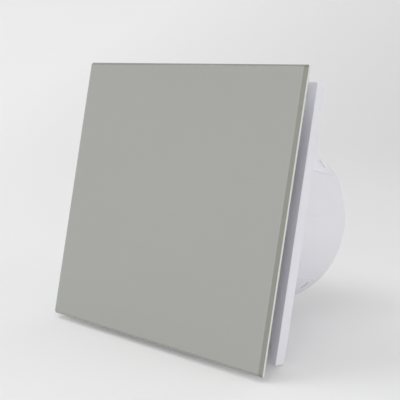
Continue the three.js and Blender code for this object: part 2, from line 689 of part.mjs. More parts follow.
function motorLead() {
  const route = [
    [21, 65], [30, 65], [40, 67.5], [50, 71], [55, 71.5], [57.4, 69], [57.7, 64], [57.7, 50], [57.7, 30],
    [57.7, 10], [58, 4.5], [60.2, -0.4], [64.5, -3], [68.8, -4], [71.2, -6], [71.9, -9], [72.3, -12],
    [74.8, -13.4],
  ];
  const points = route.map(([r, y]) => {
    const [x, z] = polar(r, LEAD_ANGLE);
    return new THREE.Vector3(x, y, z);
  });
  const section = outline(arc([0, 0], LEAD_R, 0, 315, 7));
  const extrudePath = new THREE.CatmullRomCurve3(points, false, 'centripetal');
  return new THREE.ExtrudeGeometry(section, { steps: 30, bevelEnabled: false, extrudePath });
}

// ---- Assembly ----

function material(color, roughness, metalness = 0) {
  return new THREE.MeshStandardMaterial({ color, roughness, metalness });
}

const finish = {
  glass: () => material(0xa6a7a1, 0.25),
  white: () => material(0xe4e4e6, 0.45),
  tape: () => material(0xc9c9c4, 0.9),
  grey: () => material(0xc3c5c8, 0.5),
  dark: () => material(0x3c3e42, 0.6),
  steel: () => material(0xb4b6b9, 0.35, 1),
  stack: () => material(0x76787c, 0.5, 0.8),
  copper: () => material(0xb0653a, 0.4, 0.7),
  brass: () => material(0xc2a25c, 0.35, 1),
};

const fan = new THREE.Group();
const terminalCorner = new THREE.Group();
terminalCorner.rotation.y = CORNER_TURN;
fan.add(terminalCorner);

function add(name, geometry, look, parent = fan) {
  const mesh = new THREE.Mesh(geometry, look());
  mesh.name = name;
  parent.add(mesh);
  return mesh;
}

add('glass_panel', glassPanel(), finish.glass);
['right', 'top', 'left', 'bottom'].forEach((side, i) => {
  add(`tape_${side}`, turned(tapeStrip(), 90 * i), finish.tape);
});
add('panel_carrier', panelCarrier(), finish.white);

add('front_housing', frontHousing(), finish.white);
add('inlet_ring', inletRing(), finish.white);
add('duct_spigot', ductSpigot(), finish.white);
DIAGONALS.forEach((angle, i) => {
  const screw = add(`flange_screw_${i + 1}`, panScrew(1.35, 5.2, 2.8, 1.8), finish.steel);
  const [x, z] = polar(EAR_SCREW_R, angle);
  screw.rotation.x = Math.PI;
  screw.position.set(x, FLANGE_BACK_Y + SEAT, z);
});

add('motor_bracket', motorBracket(), finish.white);
add('motor_front_shield', motorShield(), finish.steel).position.y = FRONT_SHIELD_Y;
add('motor_rear_shield', turned(motorShield().rotateX(Math.PI), 90), finish.steel).position.y = REAR_SHIELD_Y;
add('stator_core', statorCore(), finish.stack);
for (let i = 0; i < 4; i += 1) add(`coil_${i + 1}`, turned(coil(), 90 * i), finish.copper);
const bush = tube(BUSH_BORE_R, BUSH_R, [0, BUSH_LENGTH], SMALL);
add('front_bearing', bush, finish.brass).position.y = FRONT_SHIELD_Y - SHIELD_BOSS_DEPTH;
add('rear_bearing', bush, finish.brass).position.y = REAR_SHIELD_Y + SHIELD_BOSS_DEPTH - BUSH_LENGTH;
MOTOR_SCREW_ANGLES.forEach((angle, i) => {
  const [x, z] = polar(MOTOR_SCREW_R, angle);
  const screw = add(`motor_screw_${i + 1}`, panScrew(1.3, 41, 2.1, 1.6), finish.steel);
  screw.position.set(x, FRONT_SHIELD_Y - SEAT, z);
});
add('rotor', rotorCore(), finish.stack);
add('shaft', shaft(), finish.steel);
add('impeller', impeller(), finish.grey);
add('impeller_nut', impellerNut(), finish.brass);

add('flap_pin', rodZ(PIN_R, [-PIN_HALF, PIN_HALF], 0, FLAP_Y), finish.steel);
add('flap_left', halfFlap(-1, LEFT_KNUCKLES), finish.white);
add('flap_right', halfFlap(1, RIGHT_KNUCKLES), finish.white);
add('spring_left', torsionSpring(), finish.steel).position.y = FLAP_Y;
add('spring_right', torsionSpring().rotateY(Math.PI), finish.steel).position.y = FLAP_Y;

add('terminal_block', terminalBlock(), finish.grey, terminalCorner);
[-1, 0, 1].forEach((pole, i) => {
  const screw = add(`terminal_screw_${i + 1}`, terminalScrew(), finish.brass, terminalCorner);
  screw.position.set(pole * POLE_PITCH, 0, TERMINAL_D);
});
add('terminal_cover', terminalCover(), finish.white, terminalCorner);
add('terminal_cover_screw', panScrew(1.2, 7, 2.5, 1.7), finish.steel, terminalCorner)
  .position.set(0, CASING_FRONT_Y - COVER_TAB_THICKNESS - 2 * SEAT, COVER_SCREW_D);
add('cable_clamp', cableClamp(), finish.white, terminalCorner);
[-1, 1].forEach((sign, i) => {
  add(`cable_clamp_screw_${i + 1}`, panScrew(1.2, 7, 2.3, 1.7), finish.steel, terminalCorner)
    .position.set(CLAMP_T, CASING_FRONT_Y - CLAMP_THICKNESS - 2 * SEAT, CLAMP_D + sign * CLAMP_SCREW_SPREAD);
});
add('cable_grommet', cableGrommet(), finish.dark, terminalCorner).position.set(GROMMET_T, 0, GROMMET_D);
add('motor_lead', motorLead(), finish.dark);

export default fan;
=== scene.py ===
"""Looks of a bathroom extractor fan: a bevelled grey glass panel, a slim white casing and its duct spigot.

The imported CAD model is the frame. Blender works in metres; sizes here are in millimetres and are turned
into metres as each mesh is made. +Z is up, +Y points into the duct, and the glass faces -Y.
"""

import json
import math

import bmesh
import bpy
from mathutils import Matrix, Vector


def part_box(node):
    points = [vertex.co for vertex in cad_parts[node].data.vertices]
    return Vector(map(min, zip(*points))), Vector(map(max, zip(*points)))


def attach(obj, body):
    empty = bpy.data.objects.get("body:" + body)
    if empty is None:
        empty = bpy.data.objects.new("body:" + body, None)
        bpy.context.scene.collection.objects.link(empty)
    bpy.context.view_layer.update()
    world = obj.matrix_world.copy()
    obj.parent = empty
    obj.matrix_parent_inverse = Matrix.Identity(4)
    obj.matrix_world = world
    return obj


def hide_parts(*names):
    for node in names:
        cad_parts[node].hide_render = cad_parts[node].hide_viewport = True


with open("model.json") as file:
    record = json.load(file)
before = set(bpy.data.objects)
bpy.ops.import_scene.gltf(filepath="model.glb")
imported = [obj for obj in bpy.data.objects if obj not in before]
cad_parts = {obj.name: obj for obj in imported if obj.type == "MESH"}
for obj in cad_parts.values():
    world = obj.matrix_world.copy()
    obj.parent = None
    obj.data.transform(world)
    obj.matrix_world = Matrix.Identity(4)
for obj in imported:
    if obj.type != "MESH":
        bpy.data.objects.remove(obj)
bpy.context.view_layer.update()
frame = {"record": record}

# ---- dimensions, in millimetres

MM = 0.001


def box_mm(node):
    low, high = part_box(node)
    return low / MM, high / MM


PANEL_LOW, PANEL_HIGH = box_mm("glass_panel")
CASING_LOW, CASING_HIGH = box_mm("front_housing")
RING_HIGH = box_mm("inlet_ring")[1]
SPIGOT_LOW, SPIGOT_HIGH = box_mm("duct_spigot")
CARRIER_LOW, CARRIER_HIGH = box_mm("panel_carrier")
STATOR_LOW, STATOR_HIGH = box_mm("stator_core")
SHAFT_LOW, SHAFT_HIGH = box_mm("shaft")
PIN_LOW, PIN_HIGH = box_mm("flap_pin")
BLOCK_LOW, BLOCK_HIGH = box_mm("terminal_block")
COVER_LOW, COVER_HIGH = box_mm("terminal_cover")

GAP = 0.3
SEAT = 0.05
PILOT_R = 1.7
DIAGONALS = (45, 135, 225, 315)
QUARTERS = (0, 90, 180, 270)

# Glass and the carrier behind it
BEVEL_WIDTH = 1.7
BEVEL_DEPTH = 2.1
GLASS_CORNER_R = 0.8
ARRIS = 0.22
CARRIER_THICKNESS = 2.4
CARRIER_RIB = 2.2
CARRIER_CORNER_R = 8
CARRIER_RING_R = (28, 57)
CARRIER_WINDOW_R = (30, 54)
POST_OFFSET = 71.0
POST_R = 3.2

# Casing and inlet ring
CASING_WALL = 2.5
FACE_WALL = 2.2
CASING_EDGE = 0.5
CASING_CORNER_R = 0.9
FACE_FRONT = CASING_LOW.y
FACE_BACK = FACE_FRONT + FACE_WALL
BOSS_ROOT = 0.5
THROAT_END = RING_HIGH.y
THROAT_R = 54.6
THROAT_WALL = 1.6
BELL_R = 9.0
LIP_R = RING_HIGH.x
LIP_THICKNESS = 1.2
RING_SEAT_R = 64.2
RING_HOOK_ANGLES = (28, 118, 208, 298)
RIB_ANGLES = (14, 76, 104, 166, 194, 256, 284, 346)
WALL_SCREW_OFFSET = 75.0
WALL_SCREW_HOLE_R = 2.4
WALL_SCREW_SEAT_R = 4.8
WALL_SCREW_SEAT_DEPTH = 1.2

# Spigot
SPIGOT_R = 61.5
BORE_R = 59.3
SPIGOT_END = SPIGOT_HIGH.y
FLANGE_R = 64.8
FLANGE_FRONT = SPIGOT_LOW.y
FLANGE_BACK = FLANGE_FRONT + 2.2
EAR_SCREW_R = 67.5
EAR_HALF_WIDTH = 5.4
PIN_BOSS_R = 3.3
PIN_BOSS_END = 55.6
SLOT_Y = 80.0
SLOT_WIDTH = 2.1
SLOT_LENGTH = 7.0
LUG_WIDTH = 0.9
ARM_THICKNESS = 3
LUG_RECESS = 1.1
PAD_RISE = 0.5
PAD_SPAN = (54.7, 88)
STOP_R = 56.8
STOP_SPAN = (85.6, 87.2)
LEAD_IN_Y = 91.0
SEAM_SPAN = (40, 90)
SEAM_ANGLES = (6, 186)
SEAM_HALF_ANGLE = 0.16
SEAM_RISE = 0.08

# Motor, bracket and impeller
CUP_R = 27.9
CUP_BORE_R = 26.3
CUP_FRONT = 23.5
CUP_REAR = 70.0
MOTOR_R = 25.8
MOTOR_SCREW_R = 23.4
MOTOR_SCREW_ANGLES = (45, 225)
FRONT_SHIELD_Y = 27.0
REAR_SHIELD_Y = 61.0
STACK_FRONT = STATOR_LOW.y
STACK_REAR = STATOR_HIGH.y
ROTOR_R = 12.2
SHAFT_R = 2.0
BUSH_BORE_R = 2.06
BUSH_R = 4.8
HUB_R = 24.0
TIP_R = 53.8
BLADE_COUNT = 7
BLADE_Y = 11.0
BLADE_CHORD = (27, 40)    # at the root and at the tip
BLADE_PITCH = (44, 24)
BLADE_LEAN = 14

# Backdraught shutter
HINGE_Y = (PIN_LOW.y + PIN_HIGH.y) / 2
FLAP_R = 58.4
FLAP_THICKNESS = 1.2
FLAP_INNER_EDGE = 3.7
PIN_R = 1.5
KNUCKLE_R = 3.2
KNUCKLE_BORE_R = 1.58
LEFT_KNUCKLES = ((-54, -34), (14, 33.8))
RIGHT_KNUCKLES = ((-33.8, -14), (34, 54))

# Electrical corner: t runs along the corner's tangent and d along its diagonal, outwards
BLOCK_HALF_T = 13.0
BLOCK_D = (75, 89)
TERMINAL_D = 82.0
POLE_PITCH = 8.7
COVER_HALF_T = 15.5
COVER_D = (67.8, 91)
COVER_WALL = 1.5
COVER_SCREW_D = 94.5
CLAMP_T = -19.0
CLAMP_D = 79.0
CLAMP_HALF_D = 10.8
CLAMP_THICKNESS = 2.4
CLAMP_SCREW_SPREAD = 8.2
GROMMET_T = -30.0
GROMMET_D = 75.0

# Motor lead
LEAD_ANGLE = 128
LEAD_R = 1.1
LEAD_HOLE_AT = 71.9

# ---- mesh helpers


def polar(radius, degrees):
    return radius * math.cos(math.radians(degrees)), radius * math.sin(math.radians(degrees))


def arc(centre, radius, start, end, steps):
    """Points along an arc, from start to end degrees."""
    points = []
    for i in range(steps + 1):
        x, y = polar(radius, start + (end - start) * i / steps)
        points.append((centre[0] + x, centre[1] + y))
    return points


def rounded_rectangle(half_u, half_v, radius, steps, centre=(0, 0)):
    u, v = half_u - radius, half_v - radius
    corners = ((u, v, 0), (-u, v, 90), (-u, -v, 180), (u, -v, 270))
    points = []
    for corner_u, corner_v, start in corners:
        points += arc((centre[0] + corner_u, centre[1] + corner_v), radius, start, start + 90, steps)
    return points


def make(name, points, faces):
    """A linked object from points in millimetres, with its normals facing out."""
    mesh = bpy.data.meshes.new(name)
    mesh.from_pydata([tuple(c * MM for c in p) for p in points], [], faces)
    work = bmesh.new()
    work.from_mesh(mesh)
    bmesh.ops.remove_doubles(work, verts=work.verts, dist=1e-7)
    bmesh.ops.recalc_face_normals(work, faces=work.faces)
    work.to_mesh(mesh)
    work.free()
    obj = bpy.data.objects.new(name, mesh)
    bpy.context.scene.collection.objects.link(obj)
    return obj


def prism(name, outline, span, axis="Y"):
    """An outline between two planes: of (x, z) points across Y, (z, y) across X or (x, y) across Z."""
    order = {"Y": (0, 2, 1), "X": (2, 1, 0), "Z": (0, 1, 2)}[axis]
    points = []
    for w in span:
        for u, v in outline:
            values = (u, v, w)
            points.append(tuple(values[k] for k in order))
    count = len(outline)
    faces = [tuple(range(count)), tuple(range(count, 2 * count))]
    faces += [(k, (k + 1) % count, count + (k + 1) % count, count + k) for k in range(count)]
    return make(name, points, faces)


def box(name, x, y, z):
    return prism(name, [(x[0], z[0]), (x[1], z[0]), (x[1], z[1]), (x[0], z[1])], y)


def rod(name, radius, span, u=0, v=0, segments=32, axis="Y"):
    return prism(name, arc((u, v), radius, 0, 360 - 360 / segments, segments - 1), span, axis)


def rods_at(name, radius, span, offset, angles, segments=32):
    """Rods along Y, as far from the fan's axis as the offset, one at each angle."""
    return [rod(name, radius, span, *polar(offset, angle), segments) for angle in angles]


def sector(name, radii, span, start, end, steps=16):
    outline = arc((0, 0), radii[1], start, end, steps) + arc((0, 0), radii[0], end, start, steps)
    return prism(name, outline, span)


def lathe(name, profile, segments=96):
    """A solid of revolution about Y from (radius, y) points; off the axis the profile closes on itself."""
    rings = []
    points = []
    for r, y in profile:
        if r == 0:
            rings.append([len(points)] * segments)
            points.append((0, y, 0))
            continue
        ring = []
        for k in range(segments):
            x, z = polar(r, 360 * k / segments)
            ring.append(len(points))
            points.append((x, y, z))
        rings.append(ring)
    pairs = list(zip(rings, rings[1:]))
    if profile[0][0] != 0:
        pairs.append((rings[-1], rings[0]))
    faces = []
    for a, b in pairs:
        for k in range(segments):
            n = (k + 1) % segments
            corners = [a[k], a[n], b[n], b[k]]
            faces.append(tuple(dict.fromkeys(corners)))
    return make(name, points, [f for f in faces if len(f) > 2])


def lofted(name, loops):
    """A closed skin over loops of points, each with as many, capped by strips across its two ends."""
    count = len(loops[0])
    points = [p for loop in loops for p in loop]
    faces = []
    for j in range(len(loops) - 1):
        a, b = j * count, (j + 1) * count
        faces += [(a + k, a + (k + 1) % count, b + (k + 1) % count, b + k) for k in range(count)]
    for a in (0, (len(loops) - 1) * count):
        faces += [(a + i, a + i + 1, a + count - 2 - i, a + count - 1 - i) for i in range(count // 2 - 1)]
    return make(name, points, faces)


def bar_along(name, path, radius, sides=12):
    """A round bar along a list of points, with flat ends."""
    path = [Vector(p) for p in path]
    loops = []
    normal = (path[1] - path[0]).orthogonal()
    for i, point in enumerate(path):
        ahead = (path[min(i + 1, len(path) - 1)] - path[max(i - 1, 0)]).normalized()
        normal = (normal - ahead * normal.dot(ahead)).normalized()
        other = ahead.cross(normal)
        loop = []
        for k in range(sides):
            u, v = polar(radius, 360 * k / sides)
            loop.append(tuple(point + normal * u + other * v))
        loops.append(loop)
    return lofted(name, loops)


def curve_through(points, steps):
    """Points along a centripetal Catmull-Rom curve through the given ones."""
    stops = [Vector(p) for p in points]
    stops = [2 * stops[0] - stops[1]] + stops + [2 * stops[-1] - stops[-2]]

    def between(p, q, start, end, t):
        return p + (q - p) * ((t - start) / (end - start))

    route = []
    for a, b, c, d in zip(stops, stops[1:], stops[2:], stops[3:]):
        t1 = math.sqrt((b - a).length)
        t2 = t1 + math.sqrt((c - b).length)
        t3 = t2 + math.sqrt((d - c).length)
        for k in range(steps):
            t = t1 + (t2 - t1) * k / steps
            ab, bc, cd = between(a, b, 0, t1, t), between(b, c, t1, t2, t), between(c, d, t2, t3, t)
            abc, bcd = between(ab, bc, 0, t2, t), between(bc, cd, t1, t3, t)
            route.append(between(abc, bcd, t1, t2, t))
    return route + [Vector(points[-1])]


def moved(obj, matrix):
    obj.data.transform(matrix)
    return obj


def shifted(obj, x=0, y=0, z=0):
    return moved(obj, Matrix.Translation(Vector((x, y, z)) * MM))


def turned(obj, degrees):
    """Turns a mesh about the fan's axis, counter-clockwise as seen from the front."""
    return moved(obj, Matrix.Rotation(-math.radians(degrees), 4, "Y"))


def cornered(obj):
    """Takes a mesh drawn in t (x) and d (z) to the electrical corner, at the upper left."""
    return turned(obj, 45)


def apply_modifiers(obj):
    graph = bpy.context.evaluated_depsgraph_get()
    result = bpy.data.meshes.new_from_object(obj.evaluated_get(graph))
    obj.modifiers.clear()
    old = obj.data
    obj.data = result
    bpy.data.meshes.remove(old)
    return obj


def boolean(base, tools, operation):
    for tool in tools:
        step = base.modifiers.new("step", "BOOLEAN")
        step.solver = "MANIFOLD"
        step.operation = operation
        step.object = tool
    apply_modifiers(base)
    for tool in tools:
        mesh = tool.data
        bpy.data.objects.remove(tool)
        bpy.data.meshes.remove(mesh)
    return base


def union(base, *tools):
    return boolean(base, tools, "UNION")


def cut(base, *tools):
    return boolean(base, tools, "DIFFERENCE")


def common(base, *tools):
    return boolean(base, tools, "INTERSECT")


def refine(obj, edge=0.0, segments=2, sharp=38, corner=32):
    """Cleans a mesh, rounds its edges by so many millimetres, and shades it smooth between sharp edges."""
    work = bmesh.new()
    work.from_mesh(obj.data)
    bmesh.ops.remove_doubles(work, verts=work.verts, dist=2e-6)
    bmesh.ops.dissolve_limit(work, angle_limit=math.radians(0.6), verts=work.verts, edges=work.edges)
    work.to_mesh(obj.data)
    work.free()
    if edge:
        bevel = obj.modifiers.new("edges", "BEVEL")
        bevel.width = edge * MM
        bevel.segments = segments
        bevel.limit_method = "ANGLE"
        bevel.angle_limit = math.radians(corner)
        bevel.use_clamp_overlap = True
        bevel.miter_outer = "MITER_ARC"
        apply_modifiers(obj)
    return shade(obj, sharp)


def shade(obj, sharp):
    """Shades a mesh smooth, except across edges sharper than so many degrees."""
    work = bmesh.new()
    work.from_mesh(obj.data)
    for face in work.faces:
        face.smooth = True
    for seam in work.edges:
        if len(seam.link_faces) == 2:
            seam.smooth = seam.calc_face_angle(0) < math.radians(sharp)
    work.to_mesh(obj.data)
    work.free()
    return obj


# ---- materials

RAMP_SPAN = (0.3, 0.7)  # the span of a value that turns colour


def srgb(red, green, blue):
    """Linear colour from 0-255 display values."""
    def linear(value):
        c = value / 255
        return c / 12.92 if c <= 0.04045 else ((c + 0.055) / 1.055) ** 2.4
    return linear(red), linear(green), linear(blue), 1.0


class Look:
    """A material with a Principled shader and short ways to hang procedural detail on it."""

    def __init__(self, name, color, roughness, **sockets):
        self.material = bpy.data.materials.new(name)
        self.material.use_nodes = True
        self.tree = self.material.node_tree
        self.shader = self.tree.nodes["Principled BSDF"]
        self.color = color
        self.shader.inputs["Base Color"].default_value = color
        self.shader.inputs["Roughness"].default_value = roughness
        for socket, value in sockets.items():
            self.shader.inputs[socket.replace("_", " ")].default_value = value
        self.position = self.node("ShaderNodeTexCoord").outputs["Object"]

    def node(self, kind, **values):
        made = self.tree.nodes.new(kind)
        for key, value in values.items():
            setattr(made, key, value)
        return made

    def link(self, source, target):
        self.tree.links.new(source, target)

    def noise(self, scale, detail=3.0, stretch=(1, 1, 1)):
        """Noise whose grains are about 1/scale metres across, stretched per axis."""
        mapping = self.node("ShaderNodeMapping")
        mapping.inputs["Scale"].default_value = stretch
        self.link(self.position, mapping.inputs["Vector"])
        texture = self.node("ShaderNodeTexNoise")
        texture.inputs["Scale"].default_value = scale
        texture.inputs["Detail"].default_value = detail
        self.link(mapping.outputs["Vector"], texture.inputs["Vector"])
        return texture.outputs["Fac"]

    def cells(self, scale):
        """Random values per cell, for crystals and open foam."""
        texture = self.node("ShaderNodeTexVoronoi")
        texture.inputs["Scale"].default_value = scale
        self.link(self.position, texture.inputs["Vector"])
        return texture.outputs["Distance"]

    def bands(self, axis, pitch):
        """Parallel ridges, so many millimetres apart along one axis."""
        wave = self.node("ShaderNodeTexWave", bands_direction=axis)
        wave.inputs["Scale"].default_value = math.pi / (10 * pitch * MM)
        self.link(self.position, wave.inputs["Vector"])
        return wave.outputs["Fac"]

    def vary_color(self, source, dark, light):
        """Base colour between dark and light multiples of the plain one."""
        ramp = self.node("ShaderNodeValToRGB")
        for element, factor in zip(ramp.color_ramp.elements, (dark, light)):
            element.color = tuple(c * factor for c in self.color[:3]) + (1.0,)
        for element, place in zip(ramp.color_ramp.elements, RAMP_SPAN):
            element.position = place
        self.link(source, ramp.inputs["Fac"])
        self.link(ramp.outputs["Color"], self.shader.inputs["Base Color"])

    def vary_roughness(self, source, low, high):
        span = self.node("ShaderNodeMapRange")
        span.inputs["To Min"].default_value = low
        span.inputs["To Max"].default_value = high
        self.link(source, span.inputs["Value"])
        self.link(span.outputs["Result"], self.shader.inputs["Roughness"])

    def bump(self, source, distance, strength=1.0):
        node = self.node("ShaderNodeBump")
        node.inputs["Distance"].default_value = distance
        node.inputs["Strength"].default_value = strength
        self.link(source, node.inputs["Height"])
        self.link(node.outputs["Normal"], self.shader.inputs["Normal"])


def moulded_plastic(name, color, roughness, grain=0.00001):
    """Satin injection-moulded plastic: very fine spark-eroded grain and faint flow marks."""
    look = Look(name, color, roughness, Specular_IOR_Level=0.45)
    look.vary_color(look.noise(28, 4), 0.985, 1.01)
    look.vary_roughness(look.noise(160, 3), roughness - 0.05, roughness + 0.06)
    look.bump(look.noise(4200, 2), grain, 0.35)
    return look.material


def glass(part, color, roughness, coat, coat_roughness):
    return Look("panel_glass_" + part, color, roughness, IOR=1.5,
                Coat_Weight=coat, Coat_Roughness=coat_roughness)


def etched_glass():
    """Glass with a painted back: an even satin face over a grey-beige colour."""
    look = glass("face", srgb(163, 164, 159), 0.36, 0.35, 0.28)
    look.vary_color(look.noise(9, 3), 0.992, 1.008)
    look.vary_roughness(look.noise(700, 2), 0.34, 0.38)
    look.bump(look.noise(9000, 2), 0.000002, 0.25)
    return look.material


def bevel_glass():
    """The polished slope round the glass, its colour painted darker than the face: painted shade for the
    darker reflection the bevel shows.
    """
    look = glass("bevel", srgb(146, 146, 138), 0.12, 0.6, 0.05)
    look.vary_color(look.noise(40, 2), 0.98, 1.02)
    look.vary_roughness(look.noise(300, 2), 0.1, 0.15)
    return look.material


def corner_glass():
    """The rounded corner where two bevels meet, coloured darker than the bevels and slightly matt."""
    look = glass("corner", srgb(112, 112, 105), 0.3, 0.4, 0.1)
    look.vary_color(look.noise(200, 2), 0.94, 1.04)
    return look.material


def edge_glass():
    """The narrow straight edge of the glass: pale like ground glass, with painted light making it brighter
    still where light comes out of it.
    """
    look = glass("edge", srgb(214, 218, 212), 0.3, 0.4, 0.1)
    look.vary_color(look.noise(60, 2, (1, 4, 1)), 0.96, 1.03)
    look.bump(look.noise(1500, 2, (1, 6, 1)), 0.000004, 0.3)
    return look.material


# The glass's painted back, its colour made dark blue-grey as painted shade that darkens and blues the gap
# between the glass and the casing.
def back_coat_painted_shade():
    look = Look("panel_back_paint", srgb(122, 126, 134), 0.6)
    look.vary_color(look.noise(60, 4), 0.97, 1.02)
    look.bump(look.noise(1800, 3), 0.00001, 0.4)
    return look.material


def zinc_plate():
    """Zinc-plated sheet and screws: faint crystals and rolling marks in a soft metal sheen."""
    look = Look("zinc_steel", srgb(196, 199, 201), 0.34, Metallic=1.0)
    look.vary_color(look.cells(900), 0.93, 1.03)
    look.vary_roughness(look.noise(350, 4), 0.26, 0.42)
    look.bump(look.noise(1600, 3, (1, 1, 0.2)), 0.000006, 0.5)
    return look.material


def ground_steel():
    """Ground and drawn steel, with fine marks round or across it."""
    look = Look("shaft_steel", srgb(188, 190, 193), 0.24, Metallic=1.0)
    look.vary_color(look.noise(120, 3), 0.95, 1.02)
    look.vary_roughness(look.noise(1800, 2, (0.2, 1, 0.2)), 0.18, 0.32)
    look.bump(look.noise(5000, 2, (0.1, 1, 0.1)), 0.000002, 0.4)
    return look.material


def stacked_sheet():
    """Varnished electrical sheets, half a millimetre thick, stacked along the fan's axis."""
    look = Look("lamination_steel", srgb(112, 114, 118), 0.48, Metallic=0.75)
    look.vary_color(look.noise(220, 4, (1, 6, 1)), 0.8, 1.1)
    look.vary_roughness(look.noise(500, 2), 0.4, 0.58)
    look.bump(look.bands("Y", 0.5), 0.00006, 0.7)
    return look.material


def copper_wire(axis):
    """Enamelled wire wound in layers: ridges a third of a millimetre apart across the windings."""
    look = Look("copper_winding_" + axis.lower(), srgb(196, 112, 62), 0.3, Metallic=0.85, Coat_Weight=0.5)
    look.vary_color(look.noise(400, 3), 0.82, 1.08)
    look.vary_roughness(look.noise(900, 2), 0.24, 0.38)
    look.bump(look.bands(axis, 0.35), 0.00009, 0.9)
    return look.material


def turned_brass():
    look = Look("brass", srgb(205, 176, 104), 0.28, Metallic=1.0)
    look.vary_color(look.noise(240, 3), 0.92, 1.04)
    look.vary_roughness(look.noise(1500, 2, (0.3, 1, 0.3)), 0.22, 0.36)
    look.bump(look.noise(3000, 2, (0.2, 1, 0.2)), 0.000003, 0.4)
    return look.material


def open_foam():
    """Thin double-sided foam tape, with its cut cells showing at the edges."""
    look = Look("foam_tape", srgb(214, 213, 207), 0.9, Specular_IOR_Level=0.2)
    look.vary_color(look.noise(900, 4), 0.9, 1.03)
    look.vary_roughness(look.noise(1400, 2), 0.82, 0.96)
    look.bump(look.cells(2600), 0.00012, 0.8)
    return look.material


def rubber():
    look = Look("black_rubber", srgb(44, 45, 47), 0.62, Specular_IOR_Level=0.35)
    look.vary_color(look.noise(300, 4), 0.85, 1.15)
    look.vary_roughness(look.noise(800, 2), 0.55, 0.72)
    look.bump(look.noise(2600, 3), 0.00001, 0.5)
    return look.material


def soft_sheath():
    """The lead's PVC sheath, lightly ribbed by its two cores."""
    look = Look("lead_sheath", srgb(226, 226, 223), 0.5, Specular_IOR_Level=0.4)
    look.vary_color(look.noise(180, 3), 0.95, 1.02)
    look.vary_roughness(look.noise(600, 2), 0.44, 0.58)
    look.bump(look.noise(1200, 2, (1, 0.15, 1)), 0.00002, 0.5)
    return look.material


MATERIALS = {
    "grey_glass": (etched_glass(), bevel_glass(), edge_glass(), back_coat_painted_shade(), corner_glass()),
    "white_plastic": (moulded_plastic("white_plastic", srgb(232, 231, 237), 0.42),),
    "bracket_plastic": (moulded_plastic("bracket_plastic", srgb(226, 226, 231), 0.5, 0.000014),),
    "flap_plastic": (moulded_plastic("flap_plastic", srgb(231, 231, 236), 0.46, 0.000008),),
    "foam_tape": (open_foam(),),
    "impeller_plastic": (moulded_plastic("impeller_plastic", srgb(212, 214, 217), 0.4, 0.000008),),
    "zinc_steel": (zinc_plate(),),
    "shaft_steel": (ground_steel(),),
    "lamination_steel": (stacked_sheet(),),
    "copper_winding": (copper_wire("X"),),
    "brass": (turned_brass(),),
    "terminal_plastic": (moulded_plastic("terminal_plastic", srgb(206, 208, 211), 0.55, 0.000012),),
    "black_rubber": (rubber(),),
    "lead_sheath": (soft_sheath(),),
}
COPPER_ACROSS_Z = copper_wire("Z")

# ---- the front panel


def glass_panel():
    """The glass as nested rounded squares from the face to the back, each step a ring of faces."""
    half = (PANEL_HIGH.x - PANEL_LOW.x) / 2
    centre = ((PANEL_HIGH.x + PANEL_LOW.x) / 2, (PANEL_HIGH.z + PANEL_LOW.z) / 2)
    front, back = PANEL_LOW.y, PANEL_HIGH.y
    steps = 8
    small = ARRIS / 2
    rings = [
        (BEVEL_WIDTH + ARRIS, front, 0), (BEVEL_WIDTH + small * 0.4, front + small * 0.12, 1),
        (BEVEL_WIDTH - small, front + small * 0.9, 1), (small, front + BEVEL_DEPTH - small * 0.9, 1),
        (small * 0.25, front + BEVEL_DEPTH - small * 0.1, 1), (0, front + BEVEL_DEPTH + small, 2),
        (0, back - ARRIS, 2), (ARRIS * 0.3, back - ARRIS * 0.3, 2), (ARRIS, back, 3),
    ]
    points, faces, slots = [], [], []
    for inset, y, _ in rings:
        corner = max(GLASS_CORNER_R - inset * 0.3, 0.15)
        for x, z in rounded_rectangle(half - inset, half - inset, corner, steps, centre):
            points.append((x, y, z))
    count = 4 * (steps + 1)
    for i in range(len(rings) - 1):
        for k in range(count):
            n = (k + 1) % count
            faces.append((i * count + k, i * count + n, (i + 1) * count + n, (i + 1) * count + k))
            on_corner = k % (steps + 1) < steps
            slots.append(4 if on_corner and i == 2 else min(rings[i + 1][2], 2))
    faces.append(tuple(range(count)))
    slots.append(0)
    faces.append(tuple(range((len(rings) - 1) * count, len(rings) * count)))
    slots.append(3)
    obj = make("glass", points, faces)
    for polygon, slot in zip(obj.data.polygons, slots):
        polygon.material_index = slot
    return shade(obj, 15)


def tape_strip(node):
    """A foam tape strip with softened edges."""
    low, high = box_mm(node)
    centre, half = (low + high) / 2, (high - low) / 2
    outline = rounded_rectangle(half.x, half.z, 0.6, 4, (centre.x, centre.z))
    return refine(prism(node, outline, (low.y, high.y)), 0.2, 2)


def panel_carrier():
    """The plastic frame behind the glass, with its ribs and plug-in posts."""
    half = CARRIER_HIGH.x
    front, tip = CARRIER_LOW.y, CARRIER_HIGH.y
    back = front + CARRIER_THICKNESS
    rib_end = back + CARRIER_RIB
    root = back - 1
    outline = rounded_rectangle(half, half, CARRIER_CORNER_R, 12)
    plate = prism("carrier", outline, (front, back))
    span = (front - 1, back + 1)
    cut(plate, *[sector("window", CARRIER_WINDOW_R, span, a - 33, a + 33, 30) for a in DIAGONALS])
    rim = prism("rim", outline, (root, rib_end))
    inside = rounded_rectangle(half - 2, half - 2, CARRIER_CORNER_R - 2, 12)
    cut(rim, prism("inside", inside, (back - 2, rib_end + 1)))
    additions = [rim]
    for r in CARRIER_RING_R:
        ring = [(r - 1, root), (r + 1, root), (r + 1, rib_end), (r - 1, rib_end)]
        additions.append(lathe("ring", ring, 128))
    post = [(0, root), (4, root), (4, back), (3.5, back + 1), (POST_R, back + 2.5), (POST_R, tip - 1),
            (POST_R - 0.3, tip - 0.4), (POST_R - 1, tip), (0, tip)]
    for angle in QUARTERS:
        x, z = polar(POST_OFFSET, angle)
        additions.append(turned(box("rib", (26, half - 1), (root, rib_end), (-1, 1)), angle))
        additions.append(shifted(lathe("post", post, 40), x, 0, z))
    return refine(union(plate, *additions), 0.25, 2)


# ---- casing, inlet ring and spigot


